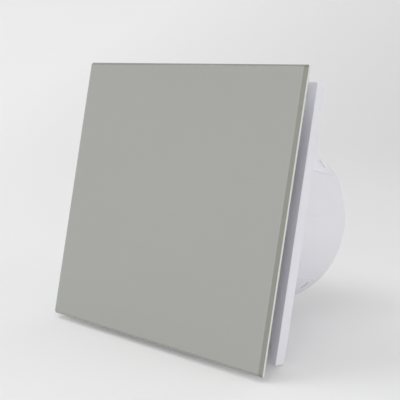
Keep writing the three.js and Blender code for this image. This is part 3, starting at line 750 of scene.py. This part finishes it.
def inlet_ring():
    """The bellmouth and throat in one ring, its lip flush in the casing's face, with four hooks."""
    centre = (THROAT_R + BELL_R, FACE_FRONT + BELL_R)
    lip_back = FACE_FRONT + LIP_THICKNESS
    profile = [(LIP_R, FACE_FRONT)] + arc(centre, BELL_R, 270, 180, 16)
    profile += [(THROAT_R, THROAT_END), (THROAT_R + THROAT_WALL, THROAT_END)]
    profile += arc(centre, BELL_R - THROAT_WALL, 180, 270, 12)
    profile += [(RING_SEAT_R, FACE_FRONT + THROAT_WALL), (RING_SEAT_R, lip_back), (LIP_R, lip_back)]
    hook_span = (FACE_BACK + 0.1, FACE_BACK + 1.3)
    hooks = [sector("hook", (58, LIP_R - 0.5), hook_span, a - 3, a + 3) for a in RING_HOOK_ANGLES]
    return refine(union(lathe("ring", profile, 160), *hooks), 0.2, 2)


def corner_details():
    """Bosses and holes in the casing's face for what is fixed in the electrical corner."""
    bosses, holes = [], []
    spread = CLAMP_SCREW_SPREAD
    for t, d in ((0, COVER_SCREW_D), (CLAMP_T, CLAMP_D - spread), (CLAMP_T, CLAMP_D + spread)):
        bosses.append(cornered(rod("boss", 3, (FACE_BACK - BOSS_ROOT, -2), t, d)))
        holes.append(cornered(rod("pilot", 1.5, (FACE_FRONT - 1, -3), t, d, 20)))
    holes.append(cornered(rod("grommet_hole", 5.3, (FACE_FRONT - 1, 0), GROMMET_T, GROMMET_D, 40)))
    x, z = polar(LEAD_HOLE_AT, LEAD_ANGLE)
    holes.append(rod("lead_hole", 2.2, (FACE_FRONT - 1, 0), x, z, 24))
    return bosses, holes


def front_housing():
    half = CASING_HIGH.x
    inner = half - CASING_WALL
    shell = prism("casing", rounded_rectangle(half, half, CASING_CORNER_R, 6), (FACE_FRONT, 0))
    cut(shell, prism("hollow", rounded_rectangle(inner, inner, 1.2, 4), (FACE_BACK, 1)))
    additions, holes = corner_details()
    holes.append(rod("opening", RING_SEAT_R + GAP, (FACE_FRONT - 1, 0), 0, 0, 160))
    holes.append(rod("recess", LIP_R + GAP, (FACE_FRONT - 1, FACE_FRONT + LIP_THICKNESS + SEAT), 0, 0, 160))
    for angle in DIAGONALS:
        x, z = polar(WALL_SCREW_OFFSET * math.sqrt(2), angle)
        seat_span = (FACE_FRONT - 1, FACE_FRONT + WALL_SCREW_SEAT_DEPTH)
        additions.append(rod("boss", 6.4, (FACE_BACK - BOSS_ROOT, 0), x, z, 40))
        holes.append(rod("hole", WALL_SCREW_HOLE_R, (FACE_FRONT - 1, 1), x, z))
        holes.append(rod("seat", WALL_SCREW_SEAT_R, seat_span, x, z, 40))
        x, z = polar(EAR_SCREW_R, angle)
        additions.append(rod("ear_boss", 4, (FACE_BACK - BOSS_ROOT, FLANGE_FRONT - GAP), x, z))
        holes.append(rod("pilot", PILOT_R, (FACE_FRONT + 1, 0), x, z, 20))
    additions += rods_at("socket", POST_R + 2, (FACE_BACK - BOSS_ROOT, -2.5), POST_OFFSET, QUARTERS, 40)
    holes += rods_at("socket_hole", POST_R + GAP, (FACE_FRONT - 1, 0), POST_OFFSET, QUARTERS)
    for angle in RIB_ANGLES:
        rib = turned(box("rib", (LIP_R - 0.4, 90), (FACE_BACK - BOSS_ROOT, -1), (-0.8, 0.8)), angle)
        limit = box("limit", (1 - half, half - 1), (FACE_FRONT, 0), (1 - half, half - 1))
        additions.append(common(rib, limit))
    union(shell, *additions)
    cut(shell, *holes)
    return refine(shell, CASING_EDGE, 3)


def duct_spigot():
    end = SPIGOT_END
    body = lathe("spigot", [
        (BORE_R, FLANGE_FRONT), (FLANGE_R, FLANGE_FRONT), (FLANGE_R, FLANGE_BACK), (SPIGOT_R, FLANGE_BACK),
        (SPIGOT_R, LEAD_IN_Y - 0.3), (SPIGOT_R - 0.3, LEAD_IN_Y), (SPIGOT_R - 0.42, end - 0.5),
        (SPIGOT_R - 0.6, end - 0.12), (SPIGOT_R - 0.9, end),
        (BORE_R + 0.4, end), (BORE_R, end - 0.4), (BORE_R, STOP_SPAN[1]), (STOP_R, STOP_SPAN[1]),
        (STOP_R, STOP_SPAN[0]), (BORE_R, STOP_SPAN[0] - 1),
    ], 256)
    ear = [(FLANGE_R - 3, -EAR_HALF_WIDTH)] + arc((EAR_SCREW_R, 0), 4.6, -70, 70, 16)
    ear.append((FLANGE_R - 3, EAR_HALF_WIDTH))
    slot_y = (SLOT_Y - SLOT_WIDTH / 2, SLOT_Y + SLOT_WIDTH / 2)
    slot_z = (-SLOT_LENGTH / 2, SLOT_LENGTH / 2)
    additions, holes = [], []
    for angle in DIAGONALS:
        pad = sector("pad", (SPIGOT_R - 1, SPIGOT_R + PAD_RISE), PAD_SPAN, angle - 8, angle + 8)
        additions.append(pad)
        additions.append(turned(prism("ear", ear, (FLANGE_FRONT, FLANGE_BACK)), angle))
        hole = rod("hole", PILOT_R, (FLANGE_FRONT - 1, FLANGE_BACK + 1), EAR_SCREW_R, 0, 20)
        holes.append(turned(hole, angle))
        holes.append(turned(box("slot", (SPIGOT_R - 4, SPIGOT_R + 2), slot_y, slot_z), angle))
    for side in (-1, 1):
        boss = sorted((side * (BORE_R + 0.7), side * PIN_BOSS_END))
        hole = sorted((side * (PIN_HIGH.z + 0.5), side * 50))
        additions.append(rod("pin_boss", PIN_BOSS_R, boss, 0, HINGE_Y, 32, "Z"))
        holes.append(rod("pin_hole", PIN_R + GAP, hole, 0, HINGE_Y, 32, "Z"))
    for angle in SEAM_ANGLES:
        start, finish = angle - SEAM_HALF_ANGLE, angle + SEAM_HALF_ANGLE
        additions.append(sector("seam", (SPIGOT_R - 1, SPIGOT_R + SEAM_RISE), SEAM_SPAN, start, finish, 1))
    notch = box("notch", (BORE_R - 2, FLANGE_R + 2), (FLANGE_FRONT - 1, 6), (-2.6, 2.6))
    holes.append(turned(notch, LEAD_ANGLE))
    union(body, *additions)
    cut(body, *holes)
    return refine(body, 0.18, 2)


def pan_screw(node, shank_r, length, head_r, head_height, plain=0.6, facing=1):
    """A threaded pan-head screw with a cross recess, where the CAD's is; facing -1 turns its head to +Y."""
    low, high = box_mm(node)
    depth, pitch = 0.22, 0.8
    core = shank_r - depth
    curve = ((0, 1), (0.6, 1), (0.82, 0.87), (0.95, 0.62), (1, 0.3), (1, 0))
    profile = [(head_r * r, -head_height * h) for r, h in curve]
    profile += [(core, 0), (core, plain)]
    for i in range(int((length - shank_r - plain) / pitch)):
        y = plain + i * pitch
        profile += [(shank_r, y + pitch * 0.35), (shank_r, y + pitch * 0.5), (core, y + pitch * 0.9)]
    profile += [(core, length - shank_r), (0, length)]
    screw = lathe(node, profile, 32)
    bar = (-head_height - 1, -head_height * 0.5)
    long, short = (-head_r * 0.55, head_r * 0.55), (-head_r * 0.13, head_r * 0.13)
    cut(screw, box("bar", long, bar, short), box("bar", short, bar, long))
    if facing < 0:
        moved(screw, Matrix.Rotation(math.pi, 4, "X"))
    seat = low.y + head_height if facing > 0 else high.y - head_height
    return refine(shifted(screw, (low.x + high.x) / 2, seat, (low.z + high.z) / 2), 0.0, sharp=45)


# ---- motor and its bracket


def bracket_arm():
    """One arm with its curved foot and the lug that snaps into the spigot's slot."""
    side = [(CUP_R - 1, 52), (CUP_R - 1, CUP_REAR), (BORE_R - 0.8, 84), (BORE_R - 0.8, 74)]
    web = prism("arm", side, (-ARM_THICKNESS / 2, ARM_THICKNESS / 2), "Z")
    foot = sector("foot", (BORE_R - 2, BORE_R - GAP), (66, 84), -3.5, 3.5, 8)
    lug_y = (SLOT_Y - LUG_WIDTH / 2, SLOT_Y + LUG_WIDTH / 2)
    lug_z = (GAP - SLOT_LENGTH / 2, SLOT_LENGTH / 2 - GAP)
    return union(web, foot, box("lug", (BORE_R - 1.2, SPIGOT_R - LUG_RECESS), lug_y, lug_z))


def motor_bracket():
    rear = CUP_REAR
    cup = lathe("cup", [
        (CUP_BORE_R, CUP_FRONT), (CUP_R, CUP_FRONT), (CUP_R, rear - 1.2), (CUP_R - 0.35, rear - 0.35),
        (CUP_R - 1.2, rear), (6, rear), (6, rear - 2), (CUP_BORE_R, rear - 2),
    ], 128)
    cut(cup, *[sector("vent", (10, 20), (rear - 3, rear + 1), a - 26, a + 26, 20) for a in QUARTERS])
    additions = [turned(bracket_arm(), angle) for angle in DIAGONALS]
    holes = [turned(rod("lead_hole", PILOT_R, (CUP_BORE_R - 2, CUP_R + 2), 0, 65, 24, "X"), LEAD_ANGLE)]
    additions += rods_at("boss", 2.6, (63, rear - 1), MOTOR_SCREW_R, MOTOR_SCREW_ANGLES)
    holes += rods_at("pilot", PILOT_R, (62, rear - 0.8), MOTOR_SCREW_R, MOTOR_SCREW_ANGLES, 20)
    union(cup, *additions)
    return refine(cut(cup, *holes), 0.2, 2)


def motor_shield():
    """A pressed end shield facing -Y, with its plate's front face at y = 0."""
    dish = lathe("shield", [
        (3.2, -2), (7.0, -2), (7.3, -1.8), (7.4, -1.4), (7.4, 0), (MOTOR_R - 1, 0), (MOTOR_R - 0.3, 0.3),
        (MOTOR_R, 1), (MOTOR_R, 5), (MOTOR_R - 1.5, 5), (MOTOR_R - 1.5, 2.2), (7.4, 2.2), (7.4, 5),
        (BUSH_R + 0.2, 5), (BUSH_R + 0.2, -1.2), (3.2, -1.2),
    ], 96)
    tools = [sector("window", (10, 20), (-1, 3), a - 24, a + 24) for a in QUARTERS]
    tools += rods_at("hole", PILOT_R, (-1, 7), MOTOR_SCREW_R, MOTOR_SCREW_ANGLES, 24)
    return refine(cut(dish, *tools), 0.12, 2)


def rear_shield():
    flipped = moved(motor_shield(), Matrix.Rotation(math.pi, 4, "X"))
    return shifted(turned(flipped, 90), 0, REAR_SHIELD_Y, 0)


def stator_core():
    bore, shoe, yoke, neck = 12.7, 14.2, 21, 4.5
    neck_angle = math.degrees(math.asin(neck / yoke))
    inner = []
    for angle in QUARTERS:
        cos, sin = polar(1, angle)
        inner += [polar(yoke, angle - neck_angle), (shoe * cos + neck * sin, shoe * sin - neck * cos)]
        inner += [polar(shoe, angle - 33)] + arc((0, 0), bore, angle - 33, angle + 33, 16)
        inner += [polar(shoe, angle + 33), (shoe * cos - neck * sin, shoe * sin + neck * cos)]
        inner += arc((0, 0), yoke, angle + neck_angle, angle + 80 - neck_angle, 12)
    span = (STACK_FRONT - 1, STACK_REAR + 1)
    tools = [prism("inner", inner, span)]
    tools += rods_at("hole", 1.6, span, MOTOR_SCREW_R, MOTOR_SCREW_ANGLES, 24)
    core = rod("stator", MOTOR_R, (STACK_FRONT, STACK_REAR), 0, 0, 96)
    return refine(cut(core, *tools), 0.1, 1)


def coil(angle):
    """A coil round a stator pole: a thick rounded ring that stands off the pole's sides."""
    reach = (STACK_REAR - STACK_FRONT) / 2
    middle = (0, (STACK_REAR + STACK_FRONT) / 2)
    ring = prism("coil", rounded_rectangle(8.1, reach + 3.6, 3, 8, middle), (14.7, 18.9), "X")
    cut(ring, prism("pole", rounded_rectangle(4.8, reach + GAP, 0.6, 3, middle), (14, 20), "X"))
    return refine(turned(ring, angle), 0.9, 4)


def rotor():
    front, rear, bore = STACK_FRONT, STACK_REAR, SHAFT_R + GAP
    ring_in, ring_out = 7.5, 11.6
    return refine(lathe("rotor", [
        (bore, front), (ring_in, front), (ring_in, front - 2), (ring_out, front - 2), (ring_out, front),
        (ROTOR_R, front), (ROTOR_R, rear), (ring_out, rear), (ring_out, rear + 2), (ring_in, rear + 2),
        (ring_in, rear), (bore, rear),
    ]), 0.2, 2)


def shaft():
    low, high = SHAFT_LOW.y, SHAFT_HIGH.y
    nose = SHAFT_R - 0.4
    profile = [(0, low), (nose, low), (SHAFT_R, low + 0.4), (SHAFT_R, high - 0.4), (nose, high), (0, high)]
    return refine(lathe("shaft", profile, 48), 0.05, 1)


def bush(node):
    low, high = box_mm(node)
    profile = [(BUSH_BORE_R, low.y), (BUSH_R, low.y), (BUSH_R, high.y), (BUSH_BORE_R, high.y)]
    return refine(lathe(node, profile, 64), 0.25, 2)


# ---- impeller


def blade():
    """A twisted, cambered blade that leans forward towards its tip."""
    root_r, chord_steps, span_steps = HUB_R - 1.2, 20, 16
    edge = [(i / chord_steps, 1) for i in range(chord_steps + 1)]
    edge += [(along, -1) for along, _ in reversed(edge)]
    loops = []
    for j in range(span_steps + 1):
        span = j / span_steps
        r = root_r + (TIP_R - root_r) * span
        chord, slope = (root + (tip - root) * span for root, tip in (BLADE_CHORD, BLADE_PITCH))
        pitch = math.radians(slope)
        loop = []
        for along, side in edge:
            fore = (along - 0.5) * chord
            bulge = 4 * along * (1 - along)
            offset = 0.07 * chord * bulge + side * (0.3 + 0.65 * math.sqrt(bulge))
            around = fore * math.cos(pitch) - offset * math.sin(pitch)
            axial = -fore * math.sin(pitch) - offset * math.cos(pitch)
            angle = math.radians(BLADE_LEAN) * span * span + around / r
            loop.append((r * math.cos(angle), BLADE_Y + axial, -r * math.sin(angle)))
        loops.append(loop)
    return lofted("blade", loops)


def impeller():
    bore, wall = SHAFT_R + GAP, 2
    hub = lathe("impeller", [
        (bore, 0.8), (6, 0.8), (6, -3.1), (6.3, -3.4), (10, -3.1), (14, -2.6), (17.2, -1.8), (20, -0.8),
        (22.4, 0.7), (HUB_R, 2.6), (HUB_R, 21.3), (HUB_R - 0.2, 21.5), (HUB_R - wall, 21.5),
        (HUB_R - wall, 4.2), (18.8, 1.2), (13.5, -0.6), (8, -1.3), (8, 2.8), (6.2, 2.8), (6.2, 14),
        (bore, 14),
    ], 126)
    union(hub, *[turned(blade(), 360 * i / BLADE_COUNT) for i in range(BLADE_COUNT)])
    return refine(hub, sharp=50)


def impeller_nut():
    low, high = box_mm("impeller_nut")
    body = rod("nut", 3.9, (low.y, high.y), 0, 0, 6)
    chamfer = [(0, low.y), (3.3, low.y), (4.2, low.y + 0.6), (4.2, high.y), (0, high.y)]
    common(body, lathe("chamfer", chamfer, 64))
    return refine(cut(body, rod("thread", SHAFT_R + GAP, (low.y - 1, high.y + 1), 0, 0, 40)), 0.12, 2)


# ---- backdraught shutter


def flap(side, knuckles):
    """Half of the shutter: a thin half disc with a stiffening rib and knuckles on the upright pin."""
    centre = 0 if side > 0 else 180
    limit = math.degrees(math.acos(FLAP_INNER_EDGE / FLAP_R))
    faces = (HINGE_Y - FLAP_THICKNESS / 2, HINGE_Y + FLAP_THICKNESS / 2)
    disc = prism("flap", arc((0, 0), FLAP_R, centre - limit, centre + limit, 96), faces)
    additions = [box("rib", sorted((side * 8, side * 50)), (faces[0] + 0.2, faces[1] + 1), (-0.6, 0.6))]
    bores = []
    leaf = sorted((0, side * (FLAP_INNER_EDGE + 1)))
    for low, high in knuckles:
        additions.append(rod("knuckle", KNUCKLE_R, (low, high), 0, HINGE_Y, 40, "Z"))
        additions.append(box("leaf", leaf, faces, (low, high)))
        bores.append(rod("bore", KNUCKLE_BORE_R, (low - 1, high + 1), 0, HINGE_Y, 40, "Z"))
    union(disc, *additions)
    return refine(cut(disc, *bores), 0.15, 2)


def torsion_spring():
    """The left-hand flap's spring: four turns round the pin and a leg that lies behind the flap."""
    coil_r, turns, start, pitch, steps = 2.45, 4, 11, 2, 24
    path = []
    for i in range(turns * steps + 1):
        x, y = polar(coil_r, 90 + 360 * i / steps)
        path.append((x, HINGE_Y + y, start - turns * pitch + pitch * i / steps))
    leg = [(x, HINGE_Y + y, start) for x, y in ((0, coil_r), (-3.4, 1.7), (-5.5, 1.2), (-14, 1.15))]
    path += curve_through(leg, 6)[1:]
    return refine(bar_along("spring", path, 0.34, 10), sharp=60)


def flap_pin():
    return refine(rod("pin", PIN_R, (PIN_LOW.z, PIN_HIGH.z), 0, HINGE_Y, 40, "Z"), 0.3, 3)


# ---- electrical corner


def terminal_block():
    front, back = BLOCK_LOW.y, BLOCK_HIGH.y
    middle = sum(BLOCK_D) / 2
    half_d = BLOCK_D[1] - middle
    body = prism("block", rounded_rectangle(BLOCK_HALF_T, half_d, 0.8, 4, (0, middle)), (front, back))
    tools = []
    through = (BLOCK_D[0] - 1, BLOCK_D[1] + 1)
    for pole in (-1, 0, 1):
        t = pole * POLE_PITCH
        tools.append(rod("well", 2.3, (front - 1, front + 4.5), t, TERMINAL_D))
        tools.append(box("entry", (t - 1.5, t + 1.5), (front + 3, front + 6), through))
    for half_step in (-0.5, 0.5):
        t = half_step * POLE_PITCH
        tools.append(box("groove", (t - 0.5, t + 0.5), (front - 1, front + 2), through))
    return refine(cornered(cut(body, *tools)), 0.2, 2)


def terminal_screw(node):
    low, high = box_mm(node)
    rim = (low.y + 0.3, high.y - 0.3)
    outline = [(0, low.y), (1.6, low.y), (1.9, rim[0]), (1.9, rim[1]), (1.6, high.y), (0, high.y)]
    screw = lathe(node, outline, 32)
    cut(screw, box("slot", (-3, 3), (low.y - 1, low.y + 0.8), (-0.3, 0.3)))
    return refine(shifted(turned(screw, 45), (low.x + high.x) / 2, 0, (low.z + high.z) / 2), 0.06, 2)


def terminal_cover():
    front, back = COVER_LOW.y, COVER_HIGH.y
    middle = sum(COVER_D) / 2
    half_d = COVER_D[1] - middle
    inner_t, inner_d = COVER_HALF_T - COVER_WALL, half_d - COVER_WALL
    shell = prism("cover", rounded_rectangle(COVER_HALF_T, half_d, 1.6, 6, (0, middle)), (front, back))
    tab = [(5, COVER_D[1] - 1)] + arc((0, COVER_SCREW_D), 4.5, 0, 180, 20) + [(-5, COVER_D[1] - 1)]
    union(shell, prism("tab", tab, (back - 2.2, back)))
    cut(shell,
        prism("inside", rounded_rectangle(inner_t, inner_d, 0.6, 4, (0, middle)),
              (front + COVER_WALL, back + 1)),
        rod("hole", 1.6, (back - 4, back + 1), 0, COVER_SCREW_D),
        box("cable_notch", (-COVER_HALF_T - 1, 1 - inner_t), (-16.8, back + 1), (75.4, 82.6)))
    return refine(cornered(shell), 0.35, 3)


def cable_clamp():
    back, channel = COVER_HIGH.y, 3.6
    top, crown = back - CLAMP_THICKNESS, back - 3.5
    side = [(-CLAMP_HALF_D, back), (-CLAMP_HALF_D, top), (-channel - 1.8, top)]
    side += arc((0, crown), channel + 1.8, 180, 360, 24)
    side += [(channel + 1.8, top), (CLAMP_HALF_D, top), (CLAMP_HALF_D, back), (channel, back)]
    side += arc((0, crown), channel, 360, 180, 24) + [(-channel, back)]
    strap = shifted(prism("clamp", side, (CLAMP_T - 3, CLAMP_T + 3), "X"), 0, 0, CLAMP_D)
    spread = CLAMP_SCREW_SPREAD
    cut(strap, *[rod("hole", 1.5, (back - 4, back + 1), CLAMP_T, CLAMP_D + s * spread) for s in (-1, 1)])
    return refine(cornered(strap), 0.3, 3)


def cable_grommet():
    ring = lathe("grommet", [
        (3.4, -11.4), (7, -11.4), (7, FACE_FRONT - 0.1), (5, FACE_FRONT - 0.1), (5, FACE_BACK + 0.1),
        (6.6, FACE_BACK + 0.1), (5.2, -5.4), (3.4, -5.4),
    ], 64)
    return refine(cornered(shifted(ring, GROMMET_T, 0, GROMMET_D)), 0.35, 3)


def motor_lead():
    """The lead from the motor, along the inside of the duct and back through the casing's face."""
    route = [
        (21, 65), (30, 65), (40, 67.5), (50, 71), (55, 71.5), (57.4, 69), (57.7, 64), (57.7, 50),
        (57.7, 30), (57.7, 10), (58, 4.5), (60.2, -0.4), (64.5, -3), (68.8, -4), (71.2, -6), (71.9, -9),
        (72.3, -12), (74.8, -13.4),
    ]
    points = []
    for r, y in route:
        x, z = polar(r, LEAD_ANGLE)
        points.append((x, y, z))
    return refine(bar_along("lead", curve_through(points, 6), LEAD_R * 0.97, 16), sharp=60)


# ---- assembly

BEHAVIOUR = frame["record"]["behaviour"]
BODY_OF = {node: body for body, nodes in BEHAVIOUR["bodies"].items() for node in nodes}
SLOT_OF = {row["node"]: row["material_slot"] for row in frame["record"]["subparts"]}


def stand_for(obj, node, *materials):
    """Shows a piece in place of a CAD node, with that node's body, slot and materials."""
    obj.name = node + "_fine"
    looks = materials or MATERIALS[SLOT_OF[node]]
    parts = [polygon.material_index for polygon in obj.data.polygons]
    obj.data.materials.clear()
    for material in looks:
        obj.data.materials.append(material)
    if len(looks) > 1:
        obj.data.polygons.foreach_set("material_index", parts)
    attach(obj, BODY_OF[node])
    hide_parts(node)


def build_panel():
    stand_for(glass_panel(), "glass_panel")
    for side in ("right", "top", "left", "bottom"):
        stand_for(tape_strip("tape_" + side), "tape_" + side)
    stand_for(panel_carrier(), "panel_carrier")


def build_casing():
    stand_for(front_housing(), "front_housing")
    stand_for(inlet_ring(), "inlet_ring")
    stand_for(duct_spigot(), "duct_spigot")
    for i in (1, 2, 3, 4):
        node = f"flange_screw_{i}"
        stand_for(pan_screw(node, 1.35, 5.2, 2.8, 1.8, facing=-1), node)


def build_motor():
    stand_for(motor_bracket(), "motor_bracket")
    stand_for(shifted(motor_shield(), 0, FRONT_SHIELD_Y, 0), "motor_front_shield")
    stand_for(rear_shield(), "motor_rear_shield")
    stand_for(stator_core(), "stator_core")
    for i, angle in enumerate(QUARTERS, 1):
        across = (COPPER_ACROSS_Z,) if angle in (90, 270) else ()
        stand_for(coil(angle), f"coil_{i}", *across)
    for node in ("front_bearing", "rear_bearing"):
        stand_for(bush(node), node)
    for i in (1, 2):
        node = f"motor_screw_{i}"
        stand_for(pan_screw(node, 1.3, 41, 2.1, 1.6, plain=32), node)
    stand_for(rotor(), "rotor")
    stand_for(shaft(), "shaft")
    stand_for(impeller(), "impeller")
    stand_for(impeller_nut(), "impeller_nut")


def build_shutter():
    stand_for(flap_pin(), "flap_pin")
    stand_for(flap(-1, LEFT_KNUCKLES), "flap_left")
    stand_for(flap(1, RIGHT_KNUCKLES), "flap_right")
    stand_for(torsion_spring(), "spring_left")
    stand_for(turned(torsion_spring(), 180), "spring_right")


def build_electrical_corner():
    stand_for(terminal_block(), "terminal_block")
    for i in (1, 2, 3):
        stand_for(terminal_screw(f"terminal_screw_{i}"), f"terminal_screw_{i}")
    stand_for(terminal_cover(), "terminal_cover")
    stand_for(pan_screw("terminal_cover_screw", 1.2, 7, 2.5, 1.7), "terminal_cover_screw")
    stand_for(cable_clamp(), "cable_clamp")
    for i in (1, 2):
        node = f"cable_clamp_screw_{i}"
        stand_for(pan_screw(node, 1.2, 7, 2.3, 1.7), node)
    stand_for(cable_grommet(), "cable_grommet")
    stand_for(motor_lead(), "motor_lead")


build_panel()
build_casing()
build_motor()
build_shutter()
build_electrical_corner()

# ---- camera, stage and light

CAMERA_AIM = (25.95, -29.8, 5.7)
CAMERA_AZIMUTH = 38.87
CAMERA_ELEVATION = 0.15
CAMERA_ROLL = 8.5
CAMERA_DISTANCE = 482.2
CAMERA_LENS = 70.1
FLOOR_SLOPE = (0 - CASING_LOW.z - SPIGOT_R) / SPIGOT_END
FLOOR_CLEARANCE = 0.05
# Painted shade on the stage: its colour darkens towards the right, away from the camera and lower down, by
# these factors over this span of a direction.
STAGE_PAINTED_LIGHT, STAGE_PAINTED_SHADE = 1.015, 0.564
PAINTED_SHADE_SPAN = (-0.08, 0.4)
PAINTED_SHADE_RIGHT, PAINTED_SHADE_AWAY, PAINTED_SHADE_UP = 0.36, 0.13, -0.45
STAGE_GLOW = 0.18
SWEEP_R = 900
WORLD_LIGHT = 0.43

# Name, place, aim, width and power of each lamp
LAMPS = (
    ("key", (-2.0, -1.9, 2.8), (0, 0, 0), 2.2, 36),
    ("side", (1.25, 0.45, 0.32), (0, 0, -0.05), 0.9, 5),
    ("overhead", (0.0, -1.3, 2.2), (0, -0.6, 0), 2.4, 15),
    ("near_front", (0.17, -0.5, 0.1), (0.05, 0, 0), 0.25, 0.28),
    ("behind", (0.3, 1.9, 2.4), (0.2, 0.5, 0), 2.0, 8),
)


def make_camera():
    azimuth, elevation, roll = (math.radians(v) for v in (CAMERA_AZIMUTH, CAMERA_ELEVATION, CAMERA_ROLL))
    level = Vector((math.cos(azimuth), math.sin(azimuth), 0))
    back = Vector((level.y * math.cos(elevation), -level.x * math.cos(elevation), math.sin(elevation)))
    rise = back.cross(level)
    right = level * math.cos(roll) + rise * math.sin(roll)
    up = rise * math.cos(roll) - level * math.sin(roll)
    data = bpy.data.cameras.new("camera")
    data.lens = CAMERA_LENS
    data.sensor_width = 36
    data.clip_start = 0.01
    data.clip_end = 50
    camera = bpy.data.objects.new("camera", data)
    bpy.context.scene.collection.objects.link(camera)
    turn = Matrix((right, up, back)).transposed().to_4x4()
    place = (Vector(CAMERA_AIM) + back * CAMERA_DISTANCE) * MM
    camera.matrix_world = Matrix.Translation(place) @ turn
    bpy.context.scene.camera = camera


def make_stage():
    """A pale, faintly glowing floor that sweeps up into a wall all round; the fan leans back on it. Its
    colour carries painted shade, darker towards the right, away from the camera and lower down.
    """
    profile = [(0, 0)] + arc((SWEEP_R, SWEEP_R), SWEEP_R, -90, 0, 18)
    stage = shade(lathe("stage_sweep", profile), 180)
    tilt = Matrix.Rotation(math.radians(90) + math.atan(FLOOR_SLOPE), 4, "X")
    drop = Matrix.Translation(Vector((0, 0, CASING_LOW.z - FLOOR_CLEARANCE)) * MM)
    moved(stage, drop @ tilt)
    look = Look("stage_panel", srgb(221, 221, 221), 0.9, Specular_IOR_Level=0.1,
                Emission_Strength=STAGE_GLOW)
    look.shader.inputs["Emission Color"].default_value = (1, 1, 1, 1)
    x, y = polar(1, CAMERA_AZIMUTH)
    right, away = Vector((x, y, 0)), Vector((-y, x, 0))
    # Painted shade: the stage's colour darkens along this direction.
    along = look.node("ShaderNodeVectorMath", operation="DOT_PRODUCT")
    along.inputs[1].default_value = right * PAINTED_SHADE_RIGHT + away * PAINTED_SHADE_AWAY + Vector((0, 0, PAINTED_SHADE_UP))
    look.link(look.position, along.inputs[0])
    painted_shade = look.node("ShaderNodeMapRange")
    painted_shade.inputs["From Min"].default_value = PAINTED_SHADE_SPAN[0]
    painted_shade.inputs["From Max"].default_value = PAINTED_SHADE_SPAN[1]
    painted_shade.inputs["To Min"].default_value = RAMP_SPAN[0]
    painted_shade.inputs["To Max"].default_value = RAMP_SPAN[1]
    look.link(along.outputs["Value"], painted_shade.inputs["Value"])
    look.vary_color(painted_shade.outputs["Result"], STAGE_PAINTED_LIGHT, STAGE_PAINTED_SHADE)
    stage.data.materials.append(look.material)


def area_light(name, place, aim, size, power):
    """A round lamp, placed and aimed in metres, with its power in watts."""
    data = bpy.data.lights.new(name, "AREA")
    data.shape = "DISK"
    data.size = size
    data.energy = power
    light = bpy.data.objects.new(name, data)
    bpy.context.scene.collection.objects.link(light)
    light.location = place
    light.visible_camera = False
    light.rotation_mode = "QUATERNION"
    light.rotation_quaternion = (Vector(aim) - Vector(place)).to_track_quat("-Z", "Y")


def make_light():
    world = bpy.data.worlds.new("studio")
    bpy.context.scene.world = world
    world.use_nodes = True
    background = world.node_tree.nodes["Background"]
    background.inputs["Color"].default_value = (1.0, 1.0, 1.0, 1)
    background.inputs["Strength"].default_value = WORLD_LIGHT
    for lamp in LAMPS:
        area_light(*lamp)


make_camera()
make_stage()
make_light()
bpy.context.scene.view_settings.view_transform = "Standard"
